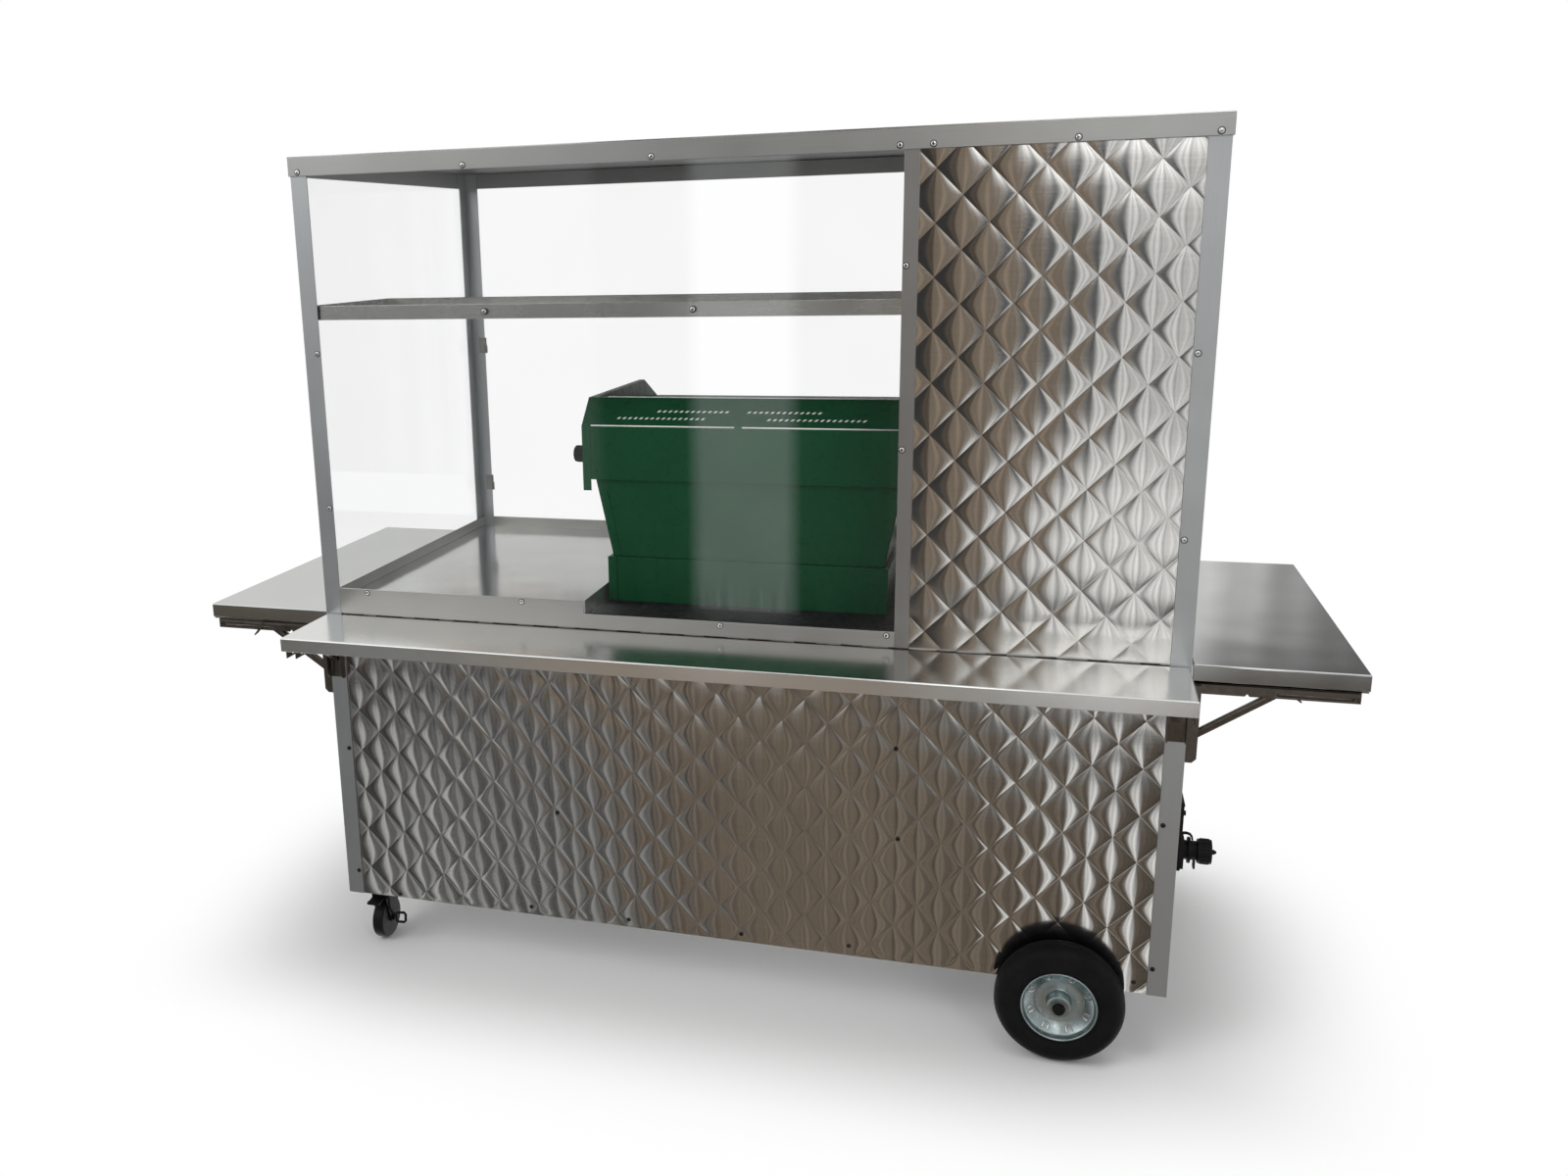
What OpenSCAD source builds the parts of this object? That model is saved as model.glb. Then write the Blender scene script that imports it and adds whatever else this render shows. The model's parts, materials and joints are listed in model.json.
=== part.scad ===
// Coffee cart: a stainless steel street cart with quilted panels, a roofed counter behind clear panes, three
// folding shelves, two large wheels and two braked casters, carrying a two-group espresso machine.
// Lengths are millimetres. Inside the modules x runs from the left end, y from the front face of the posts
// and z from the ground. in_cart() moves that corner so that the origin lies under the middle of the cart.

/* [Cart body] */
// Width over the corner posts
body_w = 1829; // [1700:1:2100]
// Depth over the corner posts
body_d = 889; // [860:1:1000]
// Height of the roof above the ground
body_h = 1829; // [1780:1:1950]
// Thickness of the folded sheet metal
sheet_t = 2; // [1.5:0.1:3]

/* [Posts and frame] */
// Width of a corner post's flange
post_w = 38; // [38:1:46]
// Thickness of the posts and the counter rails
post_t = 3; // [2:0.5:4]
// Distance from the right end to the mid post's left edge
mid_post_in = 553; // [500:1:620]
// Width of the mid post's flange
mid_post_w = 28; // [24:1:36]
// Depth of the mid post's web
mid_post_web = 25; // [15:1:40]
// Outside size of the square frame tubes
tube_w = 30; // [24:1:36]
// Wall of the frame tubes
tube_t = 2; // [1.5:0.5:3]

/* [Quilted panels] */
// Width of one quilted diamond
quilt_w = 94; // [80:0.5:120]
// Height of one quilted diamond
quilt_h = 98; // [80:0.5:120]
// Height of the diamonds' crowns above the creases
quilt_rise = 4; // [2:0.5:6]

/* [Roof] */
// Height of the fascia trim
fascia_h = 40; // [30:1:60]
// Thickness of the fascia trim
fascia_t = 3; // [2:0.5:5]

/* [Counter] */
// Height of the counter above the ground
counter_z = 858; // [840:1:890]
// Height of the front rail at the left tray, above the counter
tray_rail_h = 39; // [30:1:50]
// Height of the front rail at the machine, above the counter
well_rail_h = 12; // [8:1:24]
// Height of the left and rear rails above the counter
side_rail_h = 26; // [20:1:36]
// Distance from the left end to the divider rail
divider_x = 620; // [560:1:640]
// Distance from the counter surface down to the top edge of the lower panels
seam_drop = 20; // [16:1:24]
// Thickness of the machine mat
mat_t = 3; // [2:0.5:5]
// Thickness of the clear panes
pane_t = 5; // [3:0.5:8]

/* [Overhead shelf] */
// Height of the overhead shelf's underside above the ground
overhead_z = 1491; // [1440:1:1540]
// Height of its lips
overhead_lip = 30; // [20:1:40]
// Depth of the overhead shelf
overhead_d = 381; // [300:1:450]

/* [Folding shelves] */
// Reach of the front shelf from the posts
front_reach = 203; // [195:1:230]
// Height of the front shelf's top above the ground
front_top = 836; // [820:1:850]
// Depth of the front shelf's lip
front_lip = 30; // [24:1:36]
// Gap between the front shelf's ends and the cart's ends
front_inset = 4; // [2:1:8]
// Reach of the end shelves from the posts
wing_reach = 305; // [295:1:340]
// Height of the end shelves' tops above the ground
wing_top = 840; // [830:1:850]
// Depth of the end shelves' lips
wing_lip = 38; // [32:1:44]
// Gap between the end shelves' edges and the cart's front and rear
wing_inset = 6; // [3:1:10]
// Gap between a shelf and the posts
shelf_gap = 3; // [2:0.5:5]

/* [Folding brackets] */
// Steel thickness of the bracket channels
bracket_t = 2; // [1.5:0.5:2.5]
// Distance of the bracket pivots from the posts
pivot_out = 13; // [13:0.5:16]
// Radius of the bracket pins
pin_r = 3; // [2:0.5:3.5]
// Height of the shelf leg above its pivot
leg_top = 12; // [11:0.5:14]
// Depth of the shelf leg below its pivot
leg_low = 7; // [6:0.5:8]
// Width of a strut
strut_w = 14; // [10:1:16]
// Depth of a strut
strut_h = 12; // [9:0.5:13]
// Drop from the shelf pivot to the strut pivot on an end shelf
wing_drop = 95; // [85:1:98]
// Distance from the shelf pivot to the strut's upper end on an end shelf
wing_slide = 140; // [110:1:143]
// Drop from the shelf pivot to the strut pivot on the front shelf
front_drop = 58; // [52:1:62]
// Distance from the shelf pivot to the strut's upper end on the front shelf
front_slide = 74; // [68:1:78]
// Length of a wall leg below the strut pivot
wall_tail = 50; // [36:1:56]
// Length of a release lever
lever_l = 34; // [28:1:38]
// Angle of a release lever below its shelf leg
lever_angle = 50; // [40:1:55]

/* [Wheels] */
// Diameter of the large wheels
wheel_d = 254; // [240:1:270]
// Width of the tyres
tyre_w = 62; // [50:1:70]
// Diameter of the rims
rim_d = 150; // [130:1:165]
// Diameter of the axle
axle_d = 19; // [16:0.5:22]
// Distance of the axle from the right end
wheel_in = 205; // [190:1:260]
// Gap between a wheel and the cart
wheel_gap = 6; // [5:0.5:10]
// Gap between the axle and the cart's underside
axle_drop = 6.5; // [5:0.5:12]
// Length of the axle's ends outside the tyres
axle_end = 10; // [10:0.5:14]

/* [Casters] */
// Diameter of a caster wheel
caster_d = 100; // [86:1:102]
// Width of a caster wheel
caster_w = 28; // [22:1:32]
// Distance of the casters' swivels from the left end
caster_x = 55; // [52:1:70]
// Distance of the casters' swivels from the cart's front and rear
caster_y = 100; // [95:1:130]
// Distance from a caster's swivel to its axle
caster_trail = 30; // [24:1:34]

/* [Power inlet] */
// Width of the inlet's back plate
inlet_w = 68; // [60:1:76]
// Height of the inlet's back plate
inlet_h = 146; // [130:1:150]
// Height of the inlet plate's lower edge above the ground
inlet_z = 398; // [370:1:400]
// Radius of the inlet's screw cap
cap_r = 24; // [20:1:27]

/* [Rear doors] */
// Depth of a door
door_t = 18; // [14:1:22]
// Gap between the doors and what surrounds them
door_gap = 1.5; // [1:0.5:3]
// Length of a hinge
hinge_h = 60; // [50:1:80]
// Length of a door's pull
pull_l = 130; // [100:1:180]
// Radius of a door's pull
pull_r = 5; // [4:0.5:7]
// Distance from the pull's middle to the door's face
pull_reach = 25; // [22:1:30]
// Distance from the pull to the meeting edge of the doors
pull_in = 50; // [40:1:80]

/* [Espresso machine] */
// Left side of the machine, from the left end
mach_x = 577; // [560:1:600]
// Width of the machine
mach_w = 720; // [700:1:760]
// Distance of the machine's back from the front of the posts
mach_y = 150; // [140:1:160]
// Depth of the machine
mach_d = 556; // [530:1:570]
// Height of the machine's base
base_h = 100; // [85:1:110]
// Height of the machine's waist
waist_h = 173; // [165:1:190]
// Height of the machine's housing
housing_h = 119; // [105:1:130]
// Height of the machine's top cover
crown_h = 55; // [45:1:65]
// Distance that the base stands in from the housing's ends
base_in = 52; // [50:1:60]

/* [Water] */
// Width of a water tank
tank_w = 300; // [240:1:320]
// Depth of a water tank
tank_d = 190; // [150:1:220]
// Height of a water tank
tank_h = 360; // [280:1:400]

/* [Fits] */
// Gap between fixed pieces that stand next to each other
seat_gap = 0.2; // [0.1:0.05:0.4]
// Gap between pieces that move past each other
move_gap = 0.4; // [0.3:0.05:0.6]
// Radial clearance of a pin in its hole
run_gap = 0.06; // [0.03:0.01:0.09]

/* [Hidden] */
$fn = 48;

// Colours
stainless = [0.68, 0.67, 0.65];
galvanised = [0.56, 0.60, 0.65];
black = [0.07, 0.07, 0.07];
green = [0.04, 0.20, 0.10];
clear = [0.85, 0.93, 0.95, 0.3];
natural = [0.85, 0.86, 0.82];

// Heights and places that follow from the sizes above
mid_post_x = body_w - mid_post_in;
wheel_x = body_w - wheel_in;
body_bottom = wheel_d / 2 + axle_d / 2 + axle_drop;
rear_reach = wheel_gap + tyre_w + axle_end;
front_y = (front_reach - body_d - rear_reach) / 2;
roof_z = body_h - sheet_t;
post_h = roof_z - body_bottom;
seam_z = counter_z - seam_drop;
frame_in = post_t + seat_gap;
panel_back = post_t + seat_gap + quilt_rise + sheet_t;
floor_z = body_bottom + tube_w;
counter_low = counter_z - sheet_t;
mid_post_mid = mid_post_x + mid_post_w / 2;
inner_x = post_t + seat_gap + sheet_t;
pane_in = post_t + pane_t + seat_gap;

// Moves the cart's front left corner so that the origin lies under the middle of the cart
module in_cart() {
    translate([-body_w / 2, front_y, 0]) children();
}

// A block between two corners
module block(low, high) {
    translate(low) cube(high - low);
}

// A flat plate with round corners
module round_plate(size, r, h) {
    linear_extrude(h) {
        translate([r, 0]) square([size[0] - 2 * r, size[1]]);
        translate([0, r]) square([size[0], size[1] - 2 * r]);
        for (x = [r, size[0] - r], y = [r, size[1] - r]) translate([x, y]) circle(r);
    }
}

// A round bar along y, centred at the origin
module bar_y(r, l) {
    rotate([90, 0, 0]) cylinder(r = r, h = l, center = true);
}

// A round bar along +x from the origin
module bar_x(r, l) {
    rotate([0, 90, 0]) cylinder(r = r, h = l);
}

// Children at the left and, mirrored, at the right end
module both_ends() {
    children();
    translate([body_w, 0, 0]) mirror([1, 0, 0]) children();
}

// Children at the front and, mirrored, at the rear
module both_sides() {
    children();
    translate([0, body_d, 0]) mirror([0, 1, 0]) children();
}

// Frame

// A square tube between two corners, open along axis 0 for x or 1 for y
module frame_tube(low, l, axis) {
    size = axis == 0 ? [l, tube_w, tube_w] : [tube_w, l, tube_w];
    hole = axis == 0 ? [l + 2, tube_w - 2 * tube_t, tube_w - 2 * tube_t]
                     : [tube_w - 2 * tube_t, l + 2, tube_w - 2 * tube_t];
    difference() {
        translate(low) cube(size);
        translate(low + (size - hole) / 2) cube(hole);
    }
}

// A ring of tubes with two cross tubes, at height z
module tube_ring(z, cross) {
    long = body_w - 2 * inner_x - 2 * seat_gap;
    short = body_d - 2 * panel_back - 2 * tube_w - 4 * seat_gap;
    side_y = panel_back + tube_w + 2 * seat_gap;
    both_sides() frame_tube([inner_x + seat_gap, panel_back, z], long, 0);
    both_ends() frame_tube([inner_x + seat_gap, side_y, z], short, 1);
    for (x = cross) frame_tube([x - tube_w / 2, side_y, z], short, 1);
}

module frame_tubes() color(galvanised) in_cart() {
    tube_ring(body_bottom, [divider_x, wheel_x - wheel_d / 2, wheel_x]);
    tube_ring(counter_low - tube_w, [divider_x, mid_post_mid]);
}

module floor_pan() color(stainless) in_cart() {
    block([inner_x + seat_gap, panel_back, floor_z],
        [body_w - inner_x - seat_gap, body_d - panel_back, floor_z + sheet_t]);
}

// An angle post with its corner at the origin
module angle_post() {
    translate([0, 0, body_bottom]) linear_extrude(post_h)
        polygon([[0, 0], [post_w, 0], [post_w, post_t], [post_t, post_t], [post_t, post_w], [0, post_w]]);
}

// The tee-shaped post between the front pane and the upper panel
module mid_post() {
    web_low = counter_z + mat_t + seat_gap;
    block([mid_post_x, 0, seam_z + seat_gap], [mid_post_x + mid_post_w, post_t, roof_z]);
    block([mid_post_mid - post_t / 2, 0, web_low], [mid_post_mid + post_t / 2, mid_post_web, roof_z]);
}

module posts() color(galvanised) in_cart() {
    both_ends() both_sides() angle_post();
    mid_post();
}

// Panels

// A sheet pressed into crowned diamonds, w wide and h high, with its crowns at y = 0 and a flat back
module quilted_sheet(w, h) {
    nx = max(2, round(w / quilt_w * 2));
    nz = max(2, round(h / quilt_h * 2));
    back = quilt_rise + sheet_t;
    function front_index(p) = p[0] * (nz + 1) + p[1];
    edge = concat([for (i = [0 : nx]) [i, 0]], [for (j = [1 : nz]) [nx, j]],
        [for (i = [nx - 1 : -1 : 0]) [i, nz]], [for (j = [nz - 1 : -1 : 1]) [0, j]]);
    n = len(edge);
    first_back = (nx + 1) * (nz + 1);
    face_points = [for (i = [0 : nx], j = [0 : nz])
        [i * w / nx, (i + j) % 2 == 0 ? quilt_rise : 0, j * h / nz]];
    back_points = [for (p = edge) [p[0] * w / nx, back, p[1] * h / nz]];
    facets = [for (i = [0 : nx - 1], j = [0 : nz - 1])
        let (a = front_index([i, j]), b = front_index([i, j + 1]),
            c = front_index([i + 1, j + 1]), d = front_index([i + 1, j]))
        each (i + j) % 2 == 0 ? [[a, b, c], [a, c, d]] : [[a, b, d], [b, c, d]]];
    walls = [for (k = [0 : n - 1]) let (m = (k + 1) % n)
        [front_index(edge[k]), front_index(edge[m]), first_back + m, first_back + k]];
    middle = first_back + n;
    rear = [for (k = [0 : n - 1]) [middle, first_back + k, first_back + (k + 1) % n]];
    polyhedron(concat(face_points, back_points, [[w / 2, back, h / 2]]), concat(facets, walls, rear));
}

module front_panel() color(stainless) in_cart() {
    translate([frame_in, frame_in, body_bottom])
        quilted_sheet(body_w - 2 * frame_in, seam_z - body_bottom);
}

module upper_panel() color(stainless) in_cart() {
    left = mid_post_mid + post_t / 2 + seat_gap;
    low = seam_z + seat_gap;
    translate([left, frame_in, low]) quilted_sheet(body_w - frame_in - left, roof_z - seat_gap - low);
}

// A sheet behind the side flanges, from height z0 to z1
module side_sheet(z0, z1) {
    gap = panel_back + seat_gap;
    block([post_t + seat_gap, gap, z0], [inner_x, body_d - gap, z1]);
}

module side_panels() color(stainless) in_cart() {
    both_ends() side_sheet(body_bottom, seam_z);
    translate([body_w, 0, 0]) mirror([1, 0, 0]) side_sheet(seam_z + seat_gap, roof_z - seat_gap);
}

// The fixed panel below the rear doors
kick_top = wheel_d + 4;
module rear_panel() color(stainless) in_cart() {
    block([frame_in, body_d - frame_in - sheet_t, body_bottom],
        [body_w - frame_in, body_d - frame_in, kick_top]);
}

// Roof

module roof_panel() color(stainless) in_cart() {
    block([-fascia_t, -fascia_t, roof_z], [body_w + fascia_t, body_d + fascia_t, body_h]);
}

module fascia_trim() color(stainless) in_cart() {
    low = body_h - fascia_h;
    both_sides() block([-fascia_t, -fascia_t, low], [body_w + fascia_t, 0, roof_z]);
    both_ends() block([-fascia_t, seat_gap, low], [0, body_d - seat_gap, roof_z]);
}

module overhead_shelf() color(stainless) in_cart() {
    low = [pane_in, pane_in, overhead_z];
    high = [mid_post_mid - post_t / 2 - seat_gap, pane_in + overhead_d, overhead_z + overhead_lip];
    difference() {
        block(low, high);
        block(low + sheet_t * [1, 1, 1], high + [-sheet_t, -sheet_t, 1]);
    }
}

// Panes

module clear_panes() color(clear) in_cart() {
    right = mid_post_mid - post_t / 2 - seat_gap;
    block([post_t + seat_gap, post_t, counter_z], [right, post_t + pane_t, roof_z]);
    block([post_t, pane_in, counter_z], [post_t + pane_t, body_d - post_t - seat_gap, roof_z]);
}

// Counter

module counter_top() color(stainless) in_cart() {
    block([inner_x + seat_gap, panel_back, counter_low],
        [body_w - inner_x - seat_gap, body_d - post_t - seat_gap, counter_z]);
    block([post_t + seat_gap, post_t + seat_gap, counter_low], [mid_post_mid - post_t / 2 - seat_gap,
        panel_back - seat_gap, counter_z]);
}

// The front rail, lower where the machine stands
module front_rail() {
    left = post_w + seat_gap;
    right = mid_post_x - seat_gap;
    low = seam_z + seat_gap;
    translate([0, post_t, 0]) rotate([90, 0, 0]) linear_extrude(post_t)
        polygon([[left, low], [right, low], [right, counter_z + well_rail_h],
            [divider_x, counter_z + well_rail_h], [divider_x, counter_z + tray_rail_h],
            [left, counter_z + tray_rail_h]]);
}

module counter_rails() color(stainless) in_cart() {
    rear = body_d - post_t;
    front_rail();
    block([post_w + seat_gap, rear, seam_z + seat_gap],
        [body_w - post_w - seat_gap, body_d, counter_z + side_rail_h]);
    block([pane_in, pane_in, counter_z], [pane_in + sheet_t, rear - seat_gap, counter_z + side_rail_h]);
    block([divider_x, pane_in, counter_z], [divider_x + sheet_t, rear - seat_gap, counter_z + tray_rail_h]);
}

module machine_mat() color(black) in_cart() {
    left = divider_x + sheet_t + 2;
    translate([left, pane_in + 4, counter_z])
        round_plate([mach_x + mach_w - left, mach_y + mach_d + 40 - pane_in], 8, mat_t);
}

// Folding brackets, drawn with the post face at x = 0, x pointing out and the shelf pivot at z = 0

strut_play = 3;
lever_t = 2.5;
ear_t = 2;
wall_play = lever_t + 1.5;
leg_half = strut_w / 2 + strut_play + bracket_t;
wall_half = leg_half + wall_play + bracket_t;
wall_head = 10;
wall_depth = pivot_out + 7;
leg_root = leg_low;
bracket_at = post_w / 2;
front_pivot_z = front_top - front_lip - leg_top;
wing_pivot_z = wing_top - wing_lip - leg_top;

function strut_l(drop, slide) = sqrt(drop * drop + slide * slide);
function strut_end(drop, slide) = drop + strut_l(drop, slide);

// A channel on the post with the pins of the shelf leg and the strut
module wall_leg(drop) {
    low = -drop - wall_tail;
    cut = 8;
    block([0, -wall_half, low], [bracket_t, wall_half, wall_head]);
    for (y = [-wall_half + bracket_t, wall_half])
        translate([0, y, 0]) rotate([90, 0, 0]) linear_extrude(bracket_t)
            polygon([[0, low], [wall_depth - cut, low], [wall_depth, low + cut], [wall_depth, wall_head],
                [0, wall_head]]);
    translate([pivot_out, 0, 0]) bar_y(pin_r, 2 * wall_half);
    ear_out = strut_w / 2 + move_gap + ear_t;
    for (y = [-ear_out, ear_out - ear_t])
        block([0, y, -drop - 2 * pin_r], [pivot_out + 2 * pin_r, y + ear_t, -drop + 2 * pin_r]);
    translate([pivot_out, 0, -drop]) bar_y(pin_r, 2 * ear_out);
}

// An open-bottomed channel under the shelf, with the strut's slot, a nick and the lever's pin
module shelf_leg(l, drop, slide, lever_x) {
    nick = 5;
    difference() {
        union() {
            block([-leg_root, -leg_half, leg_top - bracket_t], [l, leg_half, leg_top]);
            for (y = [-leg_half, leg_half - bracket_t])
                block([-leg_root, y, -leg_low], [l, y + bracket_t, leg_top]);
        }
        bar_y(pin_r + run_gap, 3 * leg_half);
        for (x = [slide, strut_end(drop, slide)]) translate([x, 0, 0]) bar_y(pin_r, 3 * leg_half);
        block([slide, -leg_half - 1, -pin_r], [strut_end(drop, slide), leg_half + 1, pin_r]);
        translate([slide * 0.62, leg_half + 1, -leg_low]) rotate([90, 0, 0]) linear_extrude(2 * leg_half + 2)
            polygon([[-nick, -1], [nick, -1], [0, nick]]);
    }
    translate([lever_x, leg_half + (lever_t + move_gap) / 2, leg_top / 2]) bar_y(pin_r / 2, lever_t + move_gap);
}

// A bar from the wall pivot up to the shelf leg, with a sliding pin at its free end
module strut(drop, slide) {
    l = strut_l(drop, slide);
    rotate([0, -atan2(drop, slide), 0]) difference() {
        union() {
            block([0, -strut_w / 2, -strut_h / 2], [l, strut_w / 2, strut_h / 2]);
            bar_y(strut_h / 2, strut_w);
            translate([l, 0, 0]) bar_y(strut_h / 2, strut_w);
            translate([l, 0, 0]) bar_y(pin_r - move_gap, strut_w + 2 * (strut_play - move_gap));
        }
        bar_y(pin_r + run_gap, 2 * strut_w);
    }
}

// A release lever with its hole at the origin, hanging out and down
module lever() {
    hub_r = 4;
    translate([0, lever_t, 0]) rotate([90, lever_angle, 0]) linear_extrude(lever_t) difference() {
        union() {
            circle(hub_r);
            polygon([[0, -hub_r], [lever_l * 0.7, -hub_r * 0.8], [lever_l, -hub_r * 0.2],
                [lever_l, hub_r * 0.5], [lever_l * 0.6, hub_r * 0.4], [0, hub_r]]);
        }
        circle(pin_r / 2 + run_gap);
    }
}

// A folded pan, l long, from the gap at the posts out to reach, with its top at z = 0
// and a stiffener over each leg
module shelf_pan(l, reach, lip, legs) {
    rib = 13;
    difference() {
        block([shelf_gap, 0, -lip], [reach, l, 0]);
        block([shelf_gap + sheet_t, sheet_t, -lip - 1], [reach - sheet_t, l - sheet_t, -sheet_t]);
    }
    for (y = legs) {
        block([shelf_gap, max(0, y - rib), -lip], [reach, min(l, y + rib), -lip + sheet_t]);
        block([shelf_gap, y - sheet_t / 2, -lip], [reach, y + sheet_t / 2, 0]);
    }
}

wing_len = body_d - 2 * wing_inset;
front_len = body_w - 2 * front_inset;
wing_leg_l = wing_reach - pivot_out - 14;
front_leg_l = front_reach - pivot_out - 14;
wing_lever_x = wing_slide + 22;
front_lever_x = front_slide + 22;
front_legs = [bracket_at, body_w - bracket_at];
wing_legs = [bracket_at, body_d - bracket_at];

// Children at each bracket of the front, left or right shelf
module at_front_brackets() {
    for (x = front_legs) translate([x, 0, front_pivot_z]) rotate([0, 0, -90]) children();
}
module at_left_brackets() {
    for (y = wing_legs) translate([0, y, wing_pivot_z]) rotate([0, 0, 180]) children();
}
module at_right_brackets() {
    for (y = wing_legs) translate([body_w, y, wing_pivot_z]) children();
}

module wing_leg() {
    translate([pivot_out, 0, 0]) shelf_leg(wing_leg_l, wing_drop, wing_slide, wing_lever_x);
}
module front_leg() {
    translate([pivot_out, 0, 0]) shelf_leg(front_leg_l, front_drop, front_slide, front_lever_x);
}
module placed_lever(x) {
    translate([pivot_out + x, leg_half + move_gap / 2, leg_top / 2]) lever();
}

module bracket_wall_legs() color(galvanised) in_cart() {
    at_front_brackets() wall_leg(front_drop);
    at_left_brackets() wall_leg(wing_drop);
    at_right_brackets() wall_leg(wing_drop);
}

module front_shelf() color(stainless) in_cart() {
    translate([front_inset, 0, front_top]) rotate([0, 0, -90])
        shelf_pan(front_len, front_reach, front_lip, front_legs - front_inset * [1, 1]);
}
module front_shelf_legs() color(galvanised) in_cart() at_front_brackets() front_leg();
module front_struts() color(galvanised) in_cart()
    at_front_brackets() translate([pivot_out, 0, -front_drop]) strut(front_drop, front_slide);
module front_levers() color(galvanised) in_cart() at_front_brackets() placed_lever(front_lever_x);

module left_shelf() color(stainless) in_cart() {
    translate([0, body_d - wing_inset, wing_top]) rotate([0, 0, 180])
        shelf_pan(wing_len, wing_reach, wing_lip, wing_legs - wing_inset * [1, 1]);
}
module left_shelf_legs() color(galvanised) in_cart() at_left_brackets() wing_leg();
module left_struts() color(galvanised) in_cart()
    at_left_brackets() translate([pivot_out, 0, -wing_drop]) strut(wing_drop, wing_slide);
module left_levers() color(galvanised) in_cart() at_left_brackets() placed_lever(wing_lever_x);

module right_shelf() color(stainless) in_cart() {
    translate([body_w, wing_inset, wing_top])
        shelf_pan(wing_len, wing_reach, wing_lip, wing_legs - wing_inset * [1, 1]);
}
module right_shelf_legs() color(galvanised) in_cart() at_right_brackets() wing_leg();
module right_struts() color(galvanised) in_cart()
    at_right_brackets() translate([pivot_out, 0, -wing_drop]) strut(wing_drop, wing_slide);
module right_levers() color(galvanised) in_cart() at_right_brackets() placed_lever(wing_lever_x);

// Wheels, turned about y

axle_r = axle_d / 2;
axle_z = wheel_d / 2;
hub_r = 24;
front_wheel_y = -wheel_gap - tyre_w / 2;
rear_wheel_y = body_d + wheel_gap + tyre_w / 2;

// Children at the front wheel's or the rear wheel's middle, with z pointing out of the cart
module at_front_wheel() {
    translate([wheel_x, front_wheel_y, axle_z]) rotate([90, 0, 0]) children();
}
module at_rear_wheel() {
    translate([wheel_x, rear_wheel_y, axle_z]) rotate([-90, 0, 0]) children();
}

module tyre() {
    shoulder = 14;
    inner = rim_d / 2 + seat_gap;
    rotate_extrude($fn = 96) {
        translate([inner, -tyre_w / 2 + shoulder]) square([wheel_d / 2 - inner, tyre_w - 2 * shoulder]);
        translate([inner, -tyre_w / 2]) square([wheel_d / 2 - inner - shoulder, tyre_w]);
        for (s = [-1, 1]) translate([wheel_d / 2 - shoulder, s * (tyre_w / 2 - shoulder)]) circle(shoulder);
    }
}

module rim() {
    wall = 3;
    barrel = tyre_w - 6;
    dish = 10;
    rim_r = rim_d / 2;
    rotate_extrude($fn = 96) {
        translate([rim_r - wall, -barrel / 2]) square([wall, barrel]);
        polygon([[hub_r - 1, 0], [rim_r * 0.62, 0], [rim_r - 1, dish], [rim_r - 1, dish + wall],
            [rim_r * 0.60, wall], [hub_r - 1, wall]]);
        translate([axle_r + run_gap, -tyre_w / 2 + move_gap])
            square([hub_r - axle_r - run_gap, tyre_w - 2 * move_gap]);
    }
}

// The axle with a washer at each end
module axle() color(galvanised) in_cart() {
    washer_t = 2.5;
    l = body_d + 2 * rear_reach;
    translate([wheel_x, body_d / 2, axle_z]) bar_y(axle_r, l);
    for (s = [-1, 1]) translate([wheel_x, body_d / 2 + s * (l / 2 - axle_end + washer_t / 2), axle_z])
        rotate([90, 0, 0]) difference() {
            cylinder(r = axle_r + 7, h = washer_t, center = true);
            cylinder(r = axle_r + seat_gap / 2, h = 2 * washer_t, center = true);
        }
}

// Plates that hang the axle from the frame
module axle_hangers() color(galvanised) in_cart() {
    half = 28;
    t = 8;
    both_sides() translate([wheel_x, panel_back + tube_w / 2 + t / 2, 0]) rotate([90, 0, 0]) linear_extrude(t)
        difference() {
            union() {
                translate([-half, axle_z]) square([2 * half, body_bottom - axle_z]);
                translate([0, axle_z]) circle(half - 8);
            }
            translate([0, axle_z]) circle(axle_r + seat_gap / 2);
            translate([-half, body_bottom]) square(2 * half);
        }
}

module front_tyre() color(black) in_cart() at_front_wheel() tyre();
module front_rim() color(galvanised) in_cart() at_front_wheel() rim();
module rear_tyre() color(black) in_cart() at_rear_wheel() tyre();
module rear_rim() color(galvanised) in_cart() at_rear_wheel() rim();

// Casters, drawn about the swivel axis with the wheel trailing towards -y

caster_plate_t = 4;
race_h = 8;
race_r = 26;
crown_t = 5;
king_r = 6;
king_head = 4;
crown_z = body_bottom - caster_plate_t - race_h - move_gap - crown_t;
fork_in = caster_w / 2 + 2;
fork_t = 3;
caster_axle_r = 5;
brake_pin_r = 3;
brake_y = -caster_trail - 24;
brake_z = crown_z - 9;

// Children at the front caster and, mirrored, at the rear caster
module at_front_caster() {
    translate([caster_x, caster_y, 0]) children();
}
module at_rear_caster() {
    translate([0, body_d, 0]) mirror([0, 1, 0]) at_front_caster() children();
}

// A corner plate with the ball race and the king pin
module caster_plate() {
    top = body_bottom;
    block([inner_x - caster_x, panel_back - caster_y, top - caster_plate_t],
        [race_r + 14, race_r + 10, top]);
    translate([0, 0, top - caster_plate_t - race_h]) cylinder(r = race_r, h = race_h);
    translate([0, 0, crown_z - move_gap]) cylinder(r = king_r, h = crown_t + 2 * move_gap + 1);
    translate([0, 0, crown_z - move_gap - king_head]) cylinder(r = king_r + 4, h = king_head);
}

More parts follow.
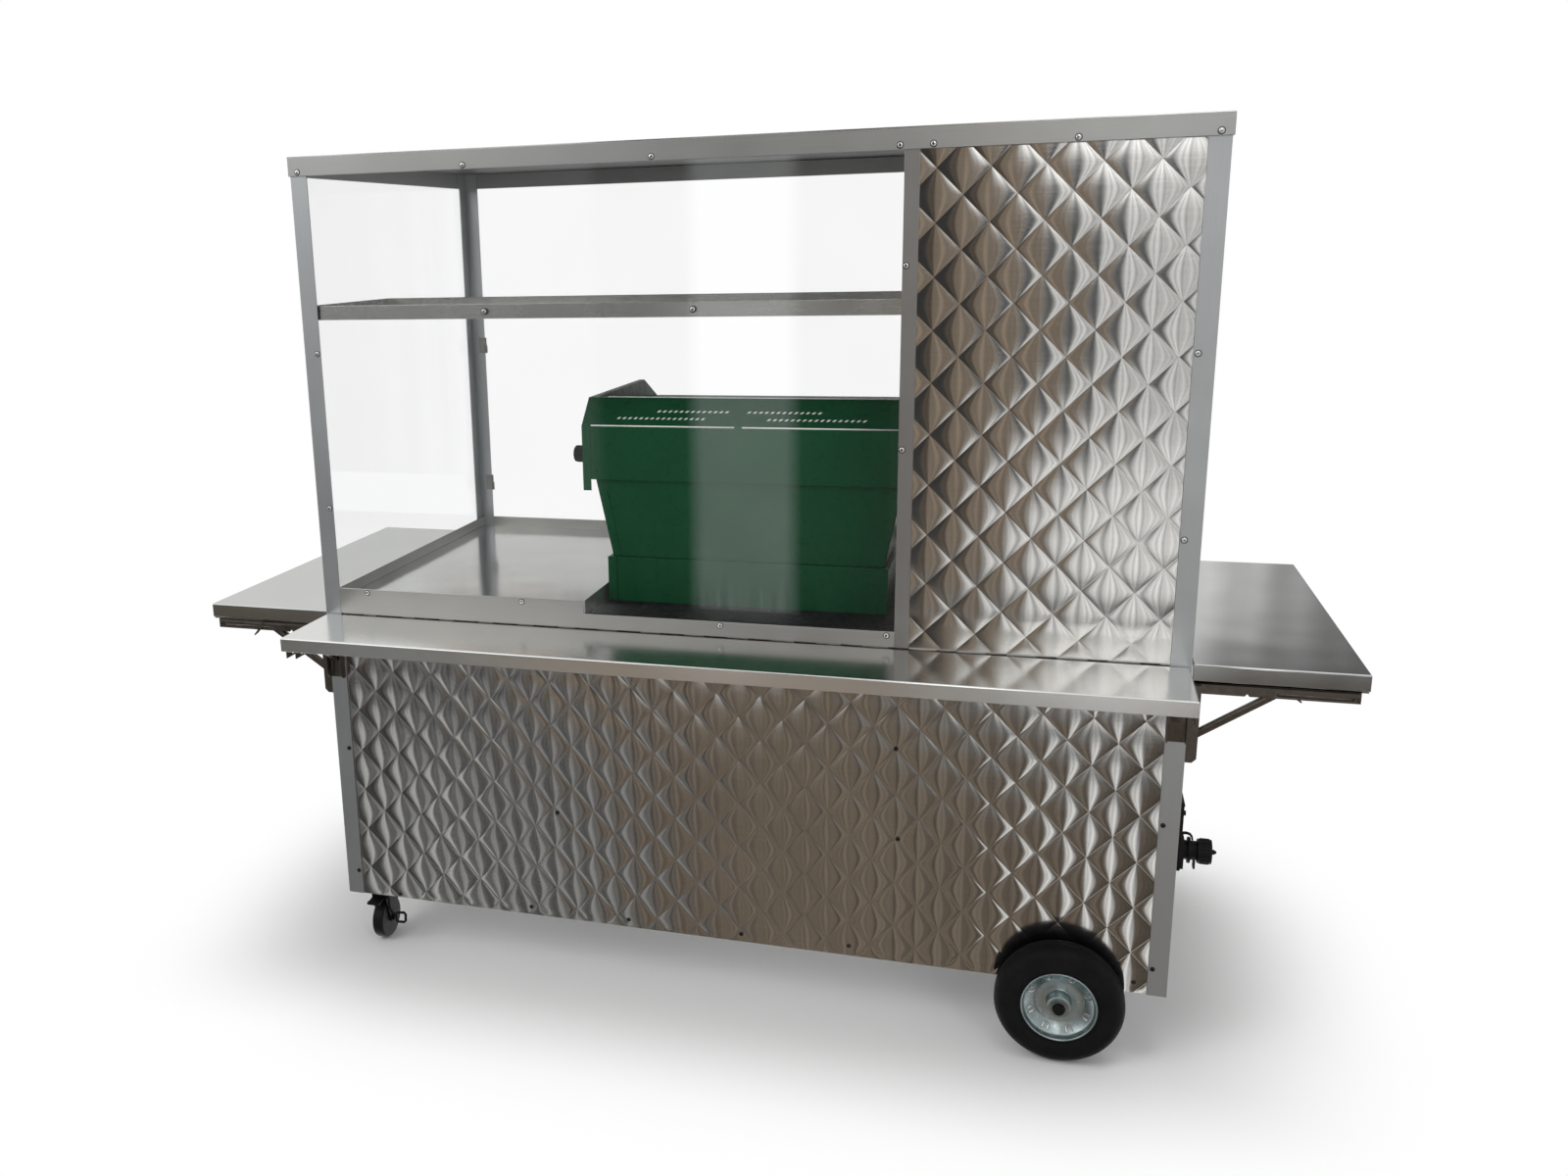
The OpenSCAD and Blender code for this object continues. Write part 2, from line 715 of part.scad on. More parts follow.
module caster_fork() {
    difference() {
        union() {
            translate([0, 0, crown_z]) cylinder(r = race_r, h = crown_t);
            block([-fork_in - fork_t, brake_y, crown_z], [fork_in + fork_t, 0, crown_z + crown_t]);
        }
        translate([0, 0, crown_z - 1]) cylinder(r = king_r + run_gap, h = crown_t + 2);
    }
    for (x = [-fork_in - fork_t, fork_in]) translate([x, 0, 0]) rotate([90, 0, 90]) linear_extrude(fork_t) {
        polygon([[brake_y - 6, crown_z + crown_t], [brake_y - 6, brake_z - 6],
            [-caster_trail - 12, caster_d / 2], [-caster_trail + 12, caster_d / 2], [race_r * 0.6, crown_z],
            [race_r * 0.6, crown_z + crown_t]]);
        translate([-caster_trail, caster_d / 2]) circle(12);
    }
    translate([-fork_in - fork_t, -caster_trail, caster_d / 2]) bar_x(caster_axle_r, 2 * (fork_in + fork_t));
    translate([-fork_in - fork_t, brake_y, brake_z]) bar_x(brake_pin_r, 2 * (fork_in + fork_t));
}

module caster_wheel() {
    edge = 6;
    r = caster_d / 2;
    translate([0, -caster_trail, r]) rotate([0, 90, 0]) rotate_extrude() {
        translate([caster_axle_r + run_gap, -caster_w / 2])
            square([r - edge - caster_axle_r - run_gap, caster_w]);
        translate([r - edge - 1, -caster_w / 2 + edge]) square([edge + 1, caster_w - 2 * edge]);
        for (s = [-1, 1]) translate([r - edge, s * (caster_w / 2 - edge)]) circle(edge);
    }
}

// A foot pedal on the fork's front pin, with a raised tread at its tip
module caster_brake() {
    half = fork_in - move_gap;
    l = 38;
    t = 3;
    tread = 8;
    ring = brake_pin_r + 3;
    translate([-half, brake_y, brake_z]) {
        difference() {
            bar_x(ring, 2 * half);
            translate([-1, 0, 0]) bar_x(brake_pin_r + run_gap, 2 * half + 2);
        }
        rotate([10, 0, 0]) {
            block([0, -l, -t / 2], [2 * half, -ring + 1, t / 2]);
            block([0, -l, 0], [2 * half, tread - l, t + 1]);
        }
    }
}

module caster_plates() color(galvanised) in_cart() {
    at_front_caster() caster_plate();
    at_rear_caster() caster_plate();
}
module front_caster_fork() color(black) in_cart() at_front_caster() caster_fork();
module front_caster_wheel() color(black) in_cart() at_front_caster() caster_wheel();
module front_caster_brake() color(black) in_cart() at_front_caster() caster_brake();
module rear_caster_fork() color(black) in_cart() at_rear_caster() caster_fork();
module rear_caster_wheel() color(black) in_cart() at_rear_caster() caster_wheel();
module rear_caster_brake() color(black) in_cart() at_rear_caster() caster_brake();

// Power inlet on the right side, behind the front post

inlet_y = post_w + 4;
plate_t = 14;
collar_r = cap_r - 5;
collar_l = 26;
cap_l = 26;
cap_y = inlet_y + inlet_w / 2;
cap_z = inlet_z + cap_r + 10;
inlet_x = body_w - post_t - seat_gap;

module inlet_housing() color(black) in_cart() {
    block_h = 2 * cap_r + 12;
    translate([inlet_x, inlet_y, inlet_z]) {
        rotate([90, 0, 90]) round_plate([inlet_w, inlet_h], 6, plate_t);
        translate([plate_t, 5, 4]) cube([6, inlet_w - 10, block_h]);
        for (y = [10, inlet_w - 10]) translate([plate_t, y, inlet_h - 24]) bar_x(5, 4);
        translate([plate_t - 4, 8, inlet_h - 8]) rotate([-90, 0, 0]) cylinder(r = 6, h = inlet_w - 16);
    }
    translate([inlet_x + plate_t + 6, cap_y, cap_z]) {
        bar_x(collar_r, collar_l);
        translate([8, 0, 0]) bar_x(cap_r + 2, 5);
        bar_x(collar_r - 5, collar_l + 12);
    }
}

module inlet_cap() color(black) in_cart() {
    teeth = 18;
    translate([inlet_x + plate_t + 6 + collar_l + move_gap, cap_y, cap_z]) difference() {
        union() {
            bar_x(cap_r, cap_l);
            for (k = [0 : teeth - 1]) rotate([k * 360 / teeth, 0, 0])
                translate([4, 0, cap_r]) bar_x(1.6, cap_l - 8);
            translate([cap_l, 0, 0]) bar_x(5, 6);
        }
        translate([-1, 0, 0]) bar_x(collar_r - 5 + run_gap, 14);
    }
}

// Rear doors and hinges

door_edge = 24;
hinge_r = 5;
hinge_x = 14;
hinge_y = body_d + 10.5;
knuckle = hinge_h / 3;
door_low = kick_top + 4;
door_high = seam_z - door_gap;
hinge_heights = [door_low + 70, door_high - 70];
lift_off_heights = [984, 1370];

// The leaf on the post, its two knuckles and the pin
module hinge_leaf(z) {
    translate([0, 0, z - hinge_h / 2]) {
        block([2, body_d, 0], [20, body_d + sheet_t, hinge_h]);
        for (low = [0, hinge_h - knuckle + move_gap]) translate([0, 0, low]) {
            translate([hinge_x, hinge_y, 0]) cylinder(r = hinge_r, h = knuckle - move_gap);
            block([hinge_x - 3, body_d, 0], [hinge_x + 3, hinge_y, knuckle - move_gap]);
        }
        translate([hinge_x, hinge_y, 0]) cylinder(r = pin_r, h = hinge_h);
    }
}

// One half of a lift-off hinge on the rear left post's inner face
module lift_off_half(z) {
    h = 42;
    pin_x = post_w + 5;
    face = body_d - post_t;
    block([post_w - 16, face - 3, z - h / 2], [post_w + 2, face, z + h / 2]);
    translate([pin_x, face - 4, z - h / 2]) cylinder(r = 4, h = h / 2);
    translate([pin_x, face - 4, z - h / 2]) cylinder(r = 2, h = h);
    block([post_w, face - 4, z - h / 2], [pin_x, face - 1, z]);
}

module hinge_leaves() color(galvanised) in_cart() {
    both_ends() for (z = hinge_heights) hinge_leaf(z);
    for (z = lift_off_heights) lift_off_half(z);
}

// The left door, with its middle knuckles and a bow handle
module door() {
    y0 = body_d + door_gap;
    y1 = y0 + door_t;
    low = [door_edge, y0, door_low];
    high = [body_w / 2 - door_gap / 2, y1, door_high];
    pull_x = high[0] - pull_in;
    pull_z = (door_low + door_high) / 2;
    difference() {
        block(low, high);
        block(low + [sheet_t, -1, sheet_t], high - sheet_t * [1, 1, 1]);
    }
    for (z = hinge_heights) difference() {
        union() {
            translate([hinge_x, hinge_y, z - knuckle / 2]) cylinder(r = hinge_r, h = knuckle);
            block([hinge_x, hinge_y - 2, z - knuckle / 2],
                [door_edge + sheet_t / 2, hinge_y + 2, z + knuckle / 2]);
        }
        translate([hinge_x, hinge_y, z - knuckle]) cylinder(r = pin_r + run_gap, h = 2 * knuckle);
    }
    for (s = [-1, 1])
        translate([pull_x, y1 - sheet_t / 2, pull_z + s * (pull_l / 2 - pull_r)]) rotate([-90, 0, 0])
        cylinder(r = pull_r, h = pull_reach + sheet_t / 2);
    translate([pull_x, y1 + pull_reach, pull_z - pull_l / 2]) cylinder(r = pull_r, h = pull_l);
}

module left_door() color(stainless) in_cart() door();
module right_door() color(stainless) in_cart() translate([body_w, 0, 0]) mirror([1, 0, 0]) door();

// Water

module water_tank() {
    neck = 26;
    round_plate([tank_w, tank_d], 30, tank_h);
    translate([tank_w / 4, tank_d / 2, tank_h]) cylinder(r = neck, h = 30);
    translate([tank_w / 4, tank_d / 2, tank_h + 8]) cylinder(r = neck + 6, h = 18);
}

module water_tanks() color(natural) in_cart() {
    y = body_d / 2;
    for (k = [0, 1]) translate([140 + k * (tank_w + 40), y, floor_z + sheet_t]) water_tank();
}

module water_pump() color(black) in_cart() {
    r = 45;
    translate([divider_x + 280, body_d / 2 + 60, floor_z + sheet_t]) {
        block([-90, -40, 0], [90, 40, 8]);
        for (x = [-70, 50]) block([x, -30, 8], [x + 20, 30, r]);
        translate([-90, 0, r + 12]) bar_x(r, 150);
        block([60, -35, r - 20], [110, 35, r + 45]);
    }
}

// Screws in the fascia, the posts and the rails

screw_r = 4.5;
screw_in = 8;

// A pan head whose flat side is at y = 0, facing the front
module pan_head() {
    rotate([90, 0, 0]) cylinder(r1 = screw_r, r2 = screw_r * 0.6, h = screw_r / 2);
}

module panel_screws() color(stainless) in_cart() {
    fascia_z = body_h - fascia_h + screw_in;
    rail_z = counter_z + well_rail_h - screw_in;
    bay = body_w - mid_post_x;
    well = mid_post_x - divider_x;
    for (x = [post_w / 2, mid_post_x * 0.311, mid_post_x * 0.622, mid_post_x - screw_in,
        mid_post_x + bay * 0.094, mid_post_x + bay * 0.546, body_w - post_w / 2])
        translate([x, -fascia_t, fascia_z]) pan_head();
    both_ends() for (k = [0.035, 0.219, 0.556, 0.758])
        translate([post_w - screw_in, 0, body_bottom + post_h * k]) pan_head();
    for (k = [0.39, 0.747])
        translate([mid_post_x + mid_post_w / 4, 0, counter_z + (roof_z - counter_z) * k]) pan_head();
    for (k = [0.174, 0.774]) translate([divider_x * k, 0, counter_z + tray_rail_h - screw_in]) pan_head();
    for (k = [0.457, 0.976]) translate([divider_x + well * k, 0, rail_z]) pan_head();
    for (k = [0.333, 0.682]) translate([mid_post_x * k, post_t, overhead_z + overhead_lip / 2]) pan_head();
}

// Espresso machine, its back to the front of the cart

mach_z = counter_z + mat_t;
waist_z = mach_z + base_h;
housing_z = waist_z + waist_h;
crown_low = housing_z + housing_h;
mach_right = mach_x + mach_w;
mach_front = mach_y + mach_d;
wall_m = 3;
waist_d = 170;
ear_w = 15;
cover_run = 55;
cover_front_run = 120;
group_y = mach_front - 96;
group_x = [mach_x + mach_w * 0.3, mach_x + mach_w * 0.7];
group_h = 48;
group_r = 35;

module machine_base() color(green) in_cart() difference() {
    block([mach_x + base_in, mach_y, mach_z], [mach_right - base_in, mach_front - 6, waist_z]);
    block([mach_x + base_in + wall_m, mach_y + wall_m, mach_z - 1],
        [mach_right - base_in - wall_m, mach_front - 6 - wall_m, waist_z - wall_m]);
}

// The waist narrows downwards
waist_low_in = base_in + 10;
waist_high_in = base_in / 2;
module waist_outline(inset, drop) {
    low = waist_low_in + inset;
    high = waist_high_in + inset;
    polygon([[mach_x + low, waist_z - drop], [mach_right - low, waist_z - drop],
        [mach_right - high, housing_z - inset], [mach_x + high, housing_z - inset]]);
}
module machine_waist() color(green) in_cart() {
    translate([0, mach_y + 10 + waist_d, 0]) rotate([90, 0, 0]) difference() {
        linear_extrude(waist_d) waist_outline(0, 0);
        translate([0, 0, wall_m]) linear_extrude(waist_d - 2 * wall_m) waist_outline(wall_m, 1);
    }
}

// The housing with the stems of the steam knobs and of the wands
knob_y = mach_y + 65;
knob_z = housing_z + 46;
stem_r = 4;
boss_l = 12;
stem_l = 24;
wand_y = mach_front - 18;
wand_in = 35;
wand_boss = 12;
ball_r = 11;
stem_in = 4;
wand_z = housing_z - wand_boss - move_gap - ball_r + 2;
module machine_housing() color(green) in_cart() {
    difference() {
        block([mach_x, mach_y, housing_z], [mach_right, mach_front, crown_low]);
        block([mach_x + wall_m, mach_y + wall_m, housing_z + wall_m],
            [mach_right - wall_m, mach_front - wall_m, crown_low + 1]);
    }
    for (side = [0, 1]) translate([side * (2 * mach_x + mach_w), 0, 0]) mirror([side, 0, 0]) {
        translate([mach_x - boss_l, knob_y, knob_z]) bar_x(10, boss_l + wall_m / 2);
        translate([mach_x - boss_l - stem_l, knob_y, knob_z]) bar_x(stem_r, boss_l + stem_l);
        translate([mach_x + wand_in, wand_y, 0]) {
            translate([0, 0, housing_z - wand_boss]) cylinder(r = 9, h = wand_boss + wall_m / 2);
            translate([0, 0, wand_z - stem_in]) cylinder(r = stem_r, h = housing_z - wand_z + stem_in);
        }
    }
}

// A bent cover along the back, end ears and the cup tray's floor
module machine_top() color(green) in_cart() {
    t = 4;
    z0 = crown_low;
    z1 = crown_low + crown_h;
    y0 = mach_y;
    y1 = mach_y + cover_run;
    y2 = y1 + 3 * t;
    y3 = mach_front - cover_front_run;
    y4 = mach_front;
    x0 = mach_x + ear_w;
    l = mach_w - 2 * ear_w;
    for (x = [mach_x, mach_right - ear_w]) translate([x, 0, 0]) rotate([90, 0, 90]) linear_extrude(ear_w)
        polygon([[y0, z0], [y1, z1], [y3, z1], [y4, z0]]);
    translate([x0, 0, 0]) rotate([90, 0, 90]) linear_extrude(l)
        polygon([[y0, z0], [y1, z1], [y2, z1], [y2, z0], [y2 - t, z0], [y2 - t, z1 - t], [y1 + t * 0.4, z1 - t],
            [y0 + t * 1.4, z0]]);
    block([x0, y2, z0], [x0 + l, y4, z0 + t]);
}

module group_heads() color(stainless) in_cart() for (x = group_x) translate([x, group_y, housing_z]) {
    translate([0, 0, -group_h]) cylinder(r = group_r, h = group_h);
    translate([0, 0, -20]) cylinder(r = group_r + 9, h = 20);
}

module drip_tray() color(stainless) in_cart() {
    low = [mach_x + base_in + 10, mach_y + waist_d + 20, waist_z];
    size = [mach_w - 2 * base_in - 20, mach_front - 20 - low[1], 16];
    slots = 18;
    bar = 8;
    rim = 16;
    pitch = (size[0] - 2 * rim + bar) / slots;
    translate(low) difference() {
        cube(size);
        for (k = [0 : slots - 1]) translate([rim + k * pitch, rim, sheet_t])
            cube([pitch - bar, size[1] - 2 * rim, 20]);
    }
}

// A filter holder under its group, with the handle towards the rear of the cart
module portafilter(x) {
    r = group_r + 2;
    h = 30;
    translate([x, group_y, housing_z - group_h - move_gap - h]) {
        cylinder(r = r, h = h);
        translate([0, 0, -16]) cylinder(r = 12, h = 17);
        for (s = [-1, 1]) translate([s * 14, 0, -20]) rotate([0, s * 30, 0]) cylinder(r = 6, h = 16);
        translate([0, r - 3, h / 2]) rotate([-96, 0, 0]) {
            cylinder(r = 7, h = 30);
            translate([0, 0, 28]) cylinder(r1 = 10, r2 = 15, h = 95);
        }
    }
}
module left_portafilter() color(black) in_cart() portafilter(group_x[0]);
module right_portafilter() color(black) in_cart() portafilter(group_x[1]);

// A fluted knob on its stem, drawn at the left side
module steam_knob() {
    r = 19;
    l = 28;
    flutes = 8;
    translate([mach_x - boss_l - move_gap - l, knob_y, knob_z]) difference() {
        bar_x(r, l);
        translate([l - stem_l, 0, 0]) bar_x(stem_r + run_gap, stem_l + 1);
        for (k = [0 : flutes - 1]) rotate([k * 360 / flutes, 0, 0]) translate([-1, 0, r + 2]) bar_x(5, l - 4);
    }
}
module mirrored_machine() {
    translate([2 * mach_x + mach_w, 0, 0]) mirror([1, 0, 0]) children();
}
module left_steam_knob() color(black) in_cart() steam_knob();
module right_steam_knob() color(black) in_cart() mirrored_machine() steam_knob();

// A steam wand hanging from its ball
module steam_wand() {
    l = 112;
    tilt = 14;
    translate([mach_x + wand_in, wand_y, wand_z]) {
        difference() {
            sphere(ball_r);
            translate([0, 0, -stem_in - move_gap]) cylinder(r = stem_r + run_gap, h = 2 * ball_r);
            translate([0, 0, ball_r - 2]) cylinder(r = ball_r, h = 4);
        }
        translate([0, 0, -7]) rotate([180 + tilt, 0, 0]) cylinder(r = 4.5, h = l);
    }
}
module left_steam_wand() color(stainless) in_cart() steam_wand();
module right_steam_wand() color(stainless) in_cart() mirrored_machine() steam_wand();

frame_tubes();
floor_pan();
posts();
front_panel();
upper_panel();
side_panels();
rear_panel();
roof_panel();
fascia_trim();
overhead_shelf();
clear_panes();
counter_top();
counter_rails();
machine_mat();
bracket_wall_legs();
axle();
axle_hangers();
caster_plates();
inlet_housing();
hinge_leaves();
water_tanks();
water_pump();
panel_screws();
machine_base();
machine_waist();
machine_housing();
machine_top();
group_heads();
drip_tray();
front_shelf();
front_shelf_legs();
front_struts();
front_levers();
left_shelf();
left_shelf_legs();
left_struts();
left_levers();
right_shelf();
right_shelf_legs();
right_struts();
right_levers();
front_tyre();
front_rim();
rear_tyre();
rear_rim();
front_caster_fork();
front_caster_wheel();
front_caster_brake();
rear_caster_fork();
rear_caster_wheel();
rear_caster_brake();
inlet_cap();
left_door();
right_door();
left_portafilter();
right_portafilter();
left_steam_knob();
right_steam_knob();
left_steam_wand();
right_steam_wand();
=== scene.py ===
"""Looks of the coffee cart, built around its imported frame. Lengths are metres; places from the cart's corner
and the shapes of the quilts and of the small parts are in mm."""

import json
import math

import bmesh
import bpy
from mathutils import Matrix, Vector


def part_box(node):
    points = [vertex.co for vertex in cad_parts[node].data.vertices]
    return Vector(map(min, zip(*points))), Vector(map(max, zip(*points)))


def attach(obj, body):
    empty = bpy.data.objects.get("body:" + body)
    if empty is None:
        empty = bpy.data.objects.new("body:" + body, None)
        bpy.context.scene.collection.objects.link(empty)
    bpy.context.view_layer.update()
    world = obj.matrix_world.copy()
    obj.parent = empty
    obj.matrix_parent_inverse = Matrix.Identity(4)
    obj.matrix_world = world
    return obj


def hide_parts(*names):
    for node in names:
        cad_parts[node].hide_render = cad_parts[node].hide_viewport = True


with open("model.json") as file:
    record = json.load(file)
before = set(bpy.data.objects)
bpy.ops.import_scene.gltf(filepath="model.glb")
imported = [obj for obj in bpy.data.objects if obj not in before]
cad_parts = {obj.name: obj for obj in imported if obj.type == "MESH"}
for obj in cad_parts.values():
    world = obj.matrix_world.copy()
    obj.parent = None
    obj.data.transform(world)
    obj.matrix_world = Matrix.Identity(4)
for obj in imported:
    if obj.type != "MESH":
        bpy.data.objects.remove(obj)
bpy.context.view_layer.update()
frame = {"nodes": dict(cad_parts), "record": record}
nodes = frame["nodes"]
body_of = {n: b for b, names in frame["record"]["behaviour"]["bodies"].items() for n in names}
scene = bpy.context.scene

# The cart's own corner, as in the part's source: x from the left, y from the posts' front, z up, in mm
post_low, post_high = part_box("posts")
CORNER_X, CORNER_Y = post_low.x, post_low.y
BODY_D = (post_high.y - post_low.y) * 1000


def at(x, y, z):
    """A point given in mm from the cart's front left corner."""
    return Vector((CORNER_X + x / 1000, CORNER_Y + y / 1000, z / 1000))


# Camera

def add_camera():
    yaw, pitch, roll = 0.30387, -0.24002, -0.02583
    image_w, image_h, focal_px, centre = 1600, 1200, 1361.23, (649.6, 581.8)
    ahead = Vector((-math.sin(yaw) * math.cos(pitch), math.cos(yaw) * math.cos(pitch), math.sin(pitch)))
    right = Vector((math.cos(yaw), math.sin(yaw), 0))
    up = right.cross(ahead)
    side = math.cos(roll) * right + math.sin(roll) * up
    top = math.cos(roll) * up - math.sin(roll) * right
    camera = bpy.data.cameras.new("camera")
    camera.sensor_width = 36
    camera.lens = camera.sensor_width * focal_px / image_w
    camera.shift_x = (image_w / 2 - centre[0]) / image_w
    camera.shift_y = (centre[1] - image_h / 2) / image_w
    holder = bpy.data.objects.new("camera", camera)
    rotation = Matrix((side, top, -ahead)).transposed().to_4x4()
    holder.matrix_world = Matrix.Translation(at(1551.99, -2583.68, 1634.41)) @ rotation
    scene.collection.objects.link(holder)
    scene.camera = holder


add_camera()


# Materials

class Shader:
    """A material with one Principled shader and helpers that wire textures to it."""

    def __init__(self, name, color, metallic=0.0, roughness=0.5, **sockets):
        self.material = bpy.data.materials.new(name)
        self.material.use_nodes = True
        self.tree = self.material.node_tree
        self.bsdf = self.tree.nodes["Principled BSDF"]
        self.set("Base Color", tuple(color) + (1,))
        self.set("Metallic", metallic)
        self.set("Roughness", roughness)
        for key, value in sockets.items():
            self.set(key.replace("_", " "), value)
        self.coords = self.tree.nodes.new("ShaderNodeTexCoord").outputs["Object"]
        self.height = None

    def set(self, socket, value):
        self.bsdf.inputs[socket].default_value = value

    def link(self, out, socket):
        self.tree.links.new(out, socket)

    def node(self, kind, **settings):
        made = self.tree.nodes.new("ShaderNode" + kind)
        for key, value in settings.items():
            setattr(made, key, value)
        return made

    def noise(self, scale, detail=3, kind="NOISE"):
        """A noise texture in object space; scale may differ along x, y and z."""
        place = self.node("Mapping")
        place.inputs["Scale"].default_value = (scale,) * 3 if isinstance(scale, (int, float)) else scale
        self.link(self.coords, place.inputs["Vector"])
        if kind == "VORONOI":
            texture = self.node("TexVoronoi")
            texture.inputs["Scale"].default_value = 1
            self.link(place.outputs[0], texture.inputs["Vector"])
            return texture.outputs["Color"]
        texture = self.node("TexNoise")
        texture.inputs["Scale"].default_value = 1
        texture.inputs["Detail"].default_value = detail
        self.link(place.outputs[0], texture.inputs["Vector"])
        return texture.outputs["Fac"]

    def ramp(self, fac, stops):
        """A colour ramp; each stop is a position and a grey value or a colour."""
        made = self.node("ValToRGB")
        elements = made.color_ramp.elements
        while len(elements) < len(stops):
            elements.new(0.5)
        for element, (position, value) in zip(elements, stops):
            element.position = position
            grey = isinstance(value, (int, float))
            element.color = (value, value, value, 1) if grey else tuple(value) + (1,)
        self.link(fac, made.inputs["Fac"])
        return made.outputs["Color"]

    def mix(self, fac, a, b):
        made = self.node("Mix", data_type="RGBA")
        for value, socket in ((fac, made.inputs[0]), (a, made.inputs[6]), (b, made.inputs[7])):
            if isinstance(value, bpy.types.NodeSocket):
                self.link(value, socket)
            elif isinstance(value, (int, float)):
                socket.default_value = value
            else:
                socket.default_value = tuple(value)[:3] + (1,)
        return made.outputs[2]

    def vary_color(self, fac, dark, light):
        """Base colour between two shades by a texture."""
        self.link(self.ramp(fac, [(0.3, dark), (0.7, light)]), self.bsdf.inputs["Base Color"])

    def vary_roughness(self, fac, low, high):
        self.link(self.ramp(fac, [(0.3, low), (0.7, high)]), self.bsdf.inputs["Roughness"])

    def bump(self, fac, distance):
        """Adds a bump of the given height in metres."""
        made = self.node("Bump")
        made.inputs["Strength"].default_value = 1.0
        made.inputs["Distance"].default_value = distance
        self.link(fac, made.inputs["Height"])
        if self.height is not None:
            self.link(self.height, made.inputs["Normal"])
        self.height = made.outputs["Normal"]
        self.link(self.height, self.bsdf.inputs["Normal"])

    def tangent(self, axis):
        """Grain direction of the gloss: round the given axis."""
        made = self.node("Tangent", direction_type="RADIAL", axis=axis)
        self.link(made.outputs[0], self.bsdf.inputs["Tangent"])


def shade(color, k):
    return tuple(min(1.0, c * k) for c in color)


GRAIN = {"X": (4, 1300, 1300), "Y": (1300, 4, 1300), "Z": (1300, 1300, 4)}


def brushed_steel(name, color, roughness, grain, wave=0.0006, anisotropic=0.0):
    """Brushed sheet: fine grain along one axis, faint cloudy staining and slightly uneven flats."""
    spread = 0.06
    made = Shader(name, color, 1.0, roughness, Anisotropic=anisotropic)
    lines = made.noise(GRAIN[grain], 3)
    clouds = made.noise(3.5, 4)
    made.vary_color(made.mix(0.5, lines, clouds), shade(color, 1 - spread), shade(color, 1 + spread))
    made.vary_roughness(made.mix(0.6, lines, made.noise(9, 5)), roughness * 0.85, roughness * 1.2)
    made.bump(lines, 0.000004)
    made.bump(made.noise(4.0, 1), wave)
    if anisotropic:
        made.tangent("X")
    return made.material


def plated_steel(name, color, roughness=0.3, spangle=90):
    """Zinc-plated steel with a soft spangle and small scuffs."""
    made = Shader(name, color, 1.0, roughness)
    tone = made.mix(0.6, made.noise(spangle, kind="VORONOI"), made.noise(25, 5))
    made.vary_color(tone, shade(color, 0.86), shade(color, 1.1))
    made.vary_roughness(made.noise(60, 4), roughness * 0.8, roughness * 1.3)
    made.bump(made.noise(400, 3), 0.00002)
    return made.material


def plastic(name, color, roughness=0.45, grain=700.0, depth=0.00004, spread=0.25, specular=0.35):
    """Moulded plastic or rubber with a fine skin and dull patches."""
    made = Shader(name, color, 0.0, roughness, Specular_IOR_Level=specular)
    made.vary_color(made.noise(30, 4), shade(color, 1 - spread), shade(color, 1 + spread))
    made.vary_roughness(made.noise(80, 4), roughness * 0.85, min(1.0, roughness * 1.2))
    made.bump(made.noise(grain, 3), depth)
    return made.material


def enamel(name, color):
    """Gloss paint on sheet metal with a faint orange peel."""
    made = Shader(name, color, 0.0, 0.3, Coat_Weight=0.04, Coat_Roughness=0.06, Specular_IOR_Level=0.08)
    made.vary_color(made.noise(4, 4), shade(color, 0.9), shade(color, 1.1))
    made.vary_roughness(made.noise(60, 3), 0.24, 0.36)
    made.bump(made.noise(260, 2), 0.000002)
    return made.material


def quilted_steel():
    """Quilted sheet, brushed along x so that what it mirrors is drawn out upwards."""
    color = (0.46, 0.455, 0.445)
    made = Shader("quilted_steel", color, 1.0, 0.095, Anisotropic=1.0)
    lines = made.noise(GRAIN["X"], 3)
    made.vary_color(made.mix(0.5, lines, made.noise(5, 4)), shade(color, 0.9), shade(color, 1.1))
    made.vary_roughness(lines, 0.08, 0.11)
    made.bump(lines, 0.000006)
    made.tangent("X")
    return made.material


def clear_acrylic():
    """A thin clear pane: each face lets most light straight through and mirrors a little."""
    made = Shader("clear_pane", (0.93, 0.97, 0.97), 1.0, 0.02)
    made.vary_roughness(made.noise(2, 3), 0.0, 0.03)
    made.link(made.ramp(made.noise(6, 5), [(0.3, 0.04), (0.7, 0.05)]), made.bsdf.inputs["Alpha"])
    return made.material


STEEL_X = brushed_steel("stainless_x", (0.56, 0.555, 0.54), 0.26, "X", anisotropic=0.5)
STEEL_TOP = brushed_steel("stainless_top", (0.58, 0.59, 0.585), 0.13, "Y", wave=0.0018)
SHELF = brushed_steel("shelf_steel", (0.8, 0.8, 0.785), 0.19, "Y", wave=0.0014)
STEEL_Z = brushed_steel("stainless_z", (0.56, 0.555, 0.54), 0.28, "Z")
FASCIA = brushed_steel("fascia_steel", (0.43, 0.435, 0.43), 0.36, "X")
RAIL = brushed_steel("rail_steel", (0.5, 0.495, 0.48), 0.36, "X")
OVERHEAD = brushed_steel("overhead_steel", (0.52, 0.52, 0.51), 0.26, "X", wave=0.001)
# Near-black copy of the roof steel for the roof's underside: painted shade under the roof.
ROOF_UNDERSIDE_SHADE = brushed_steel("roof_underside_painted_shade", (0.05, 0.05, 0.052), 0.5, "X")
POST = brushed_steel("post_steel", (0.51, 0.527, 0.545), 0.42, "Z", wave=0.0002)
# Darker copy of the post steel for the middle post: painted shade.
MID_POST_SHADE = brushed_steel("mid_post_painted_shade", (0.33, 0.325, 0.32), 0.36, "Z", wave=0.0002)
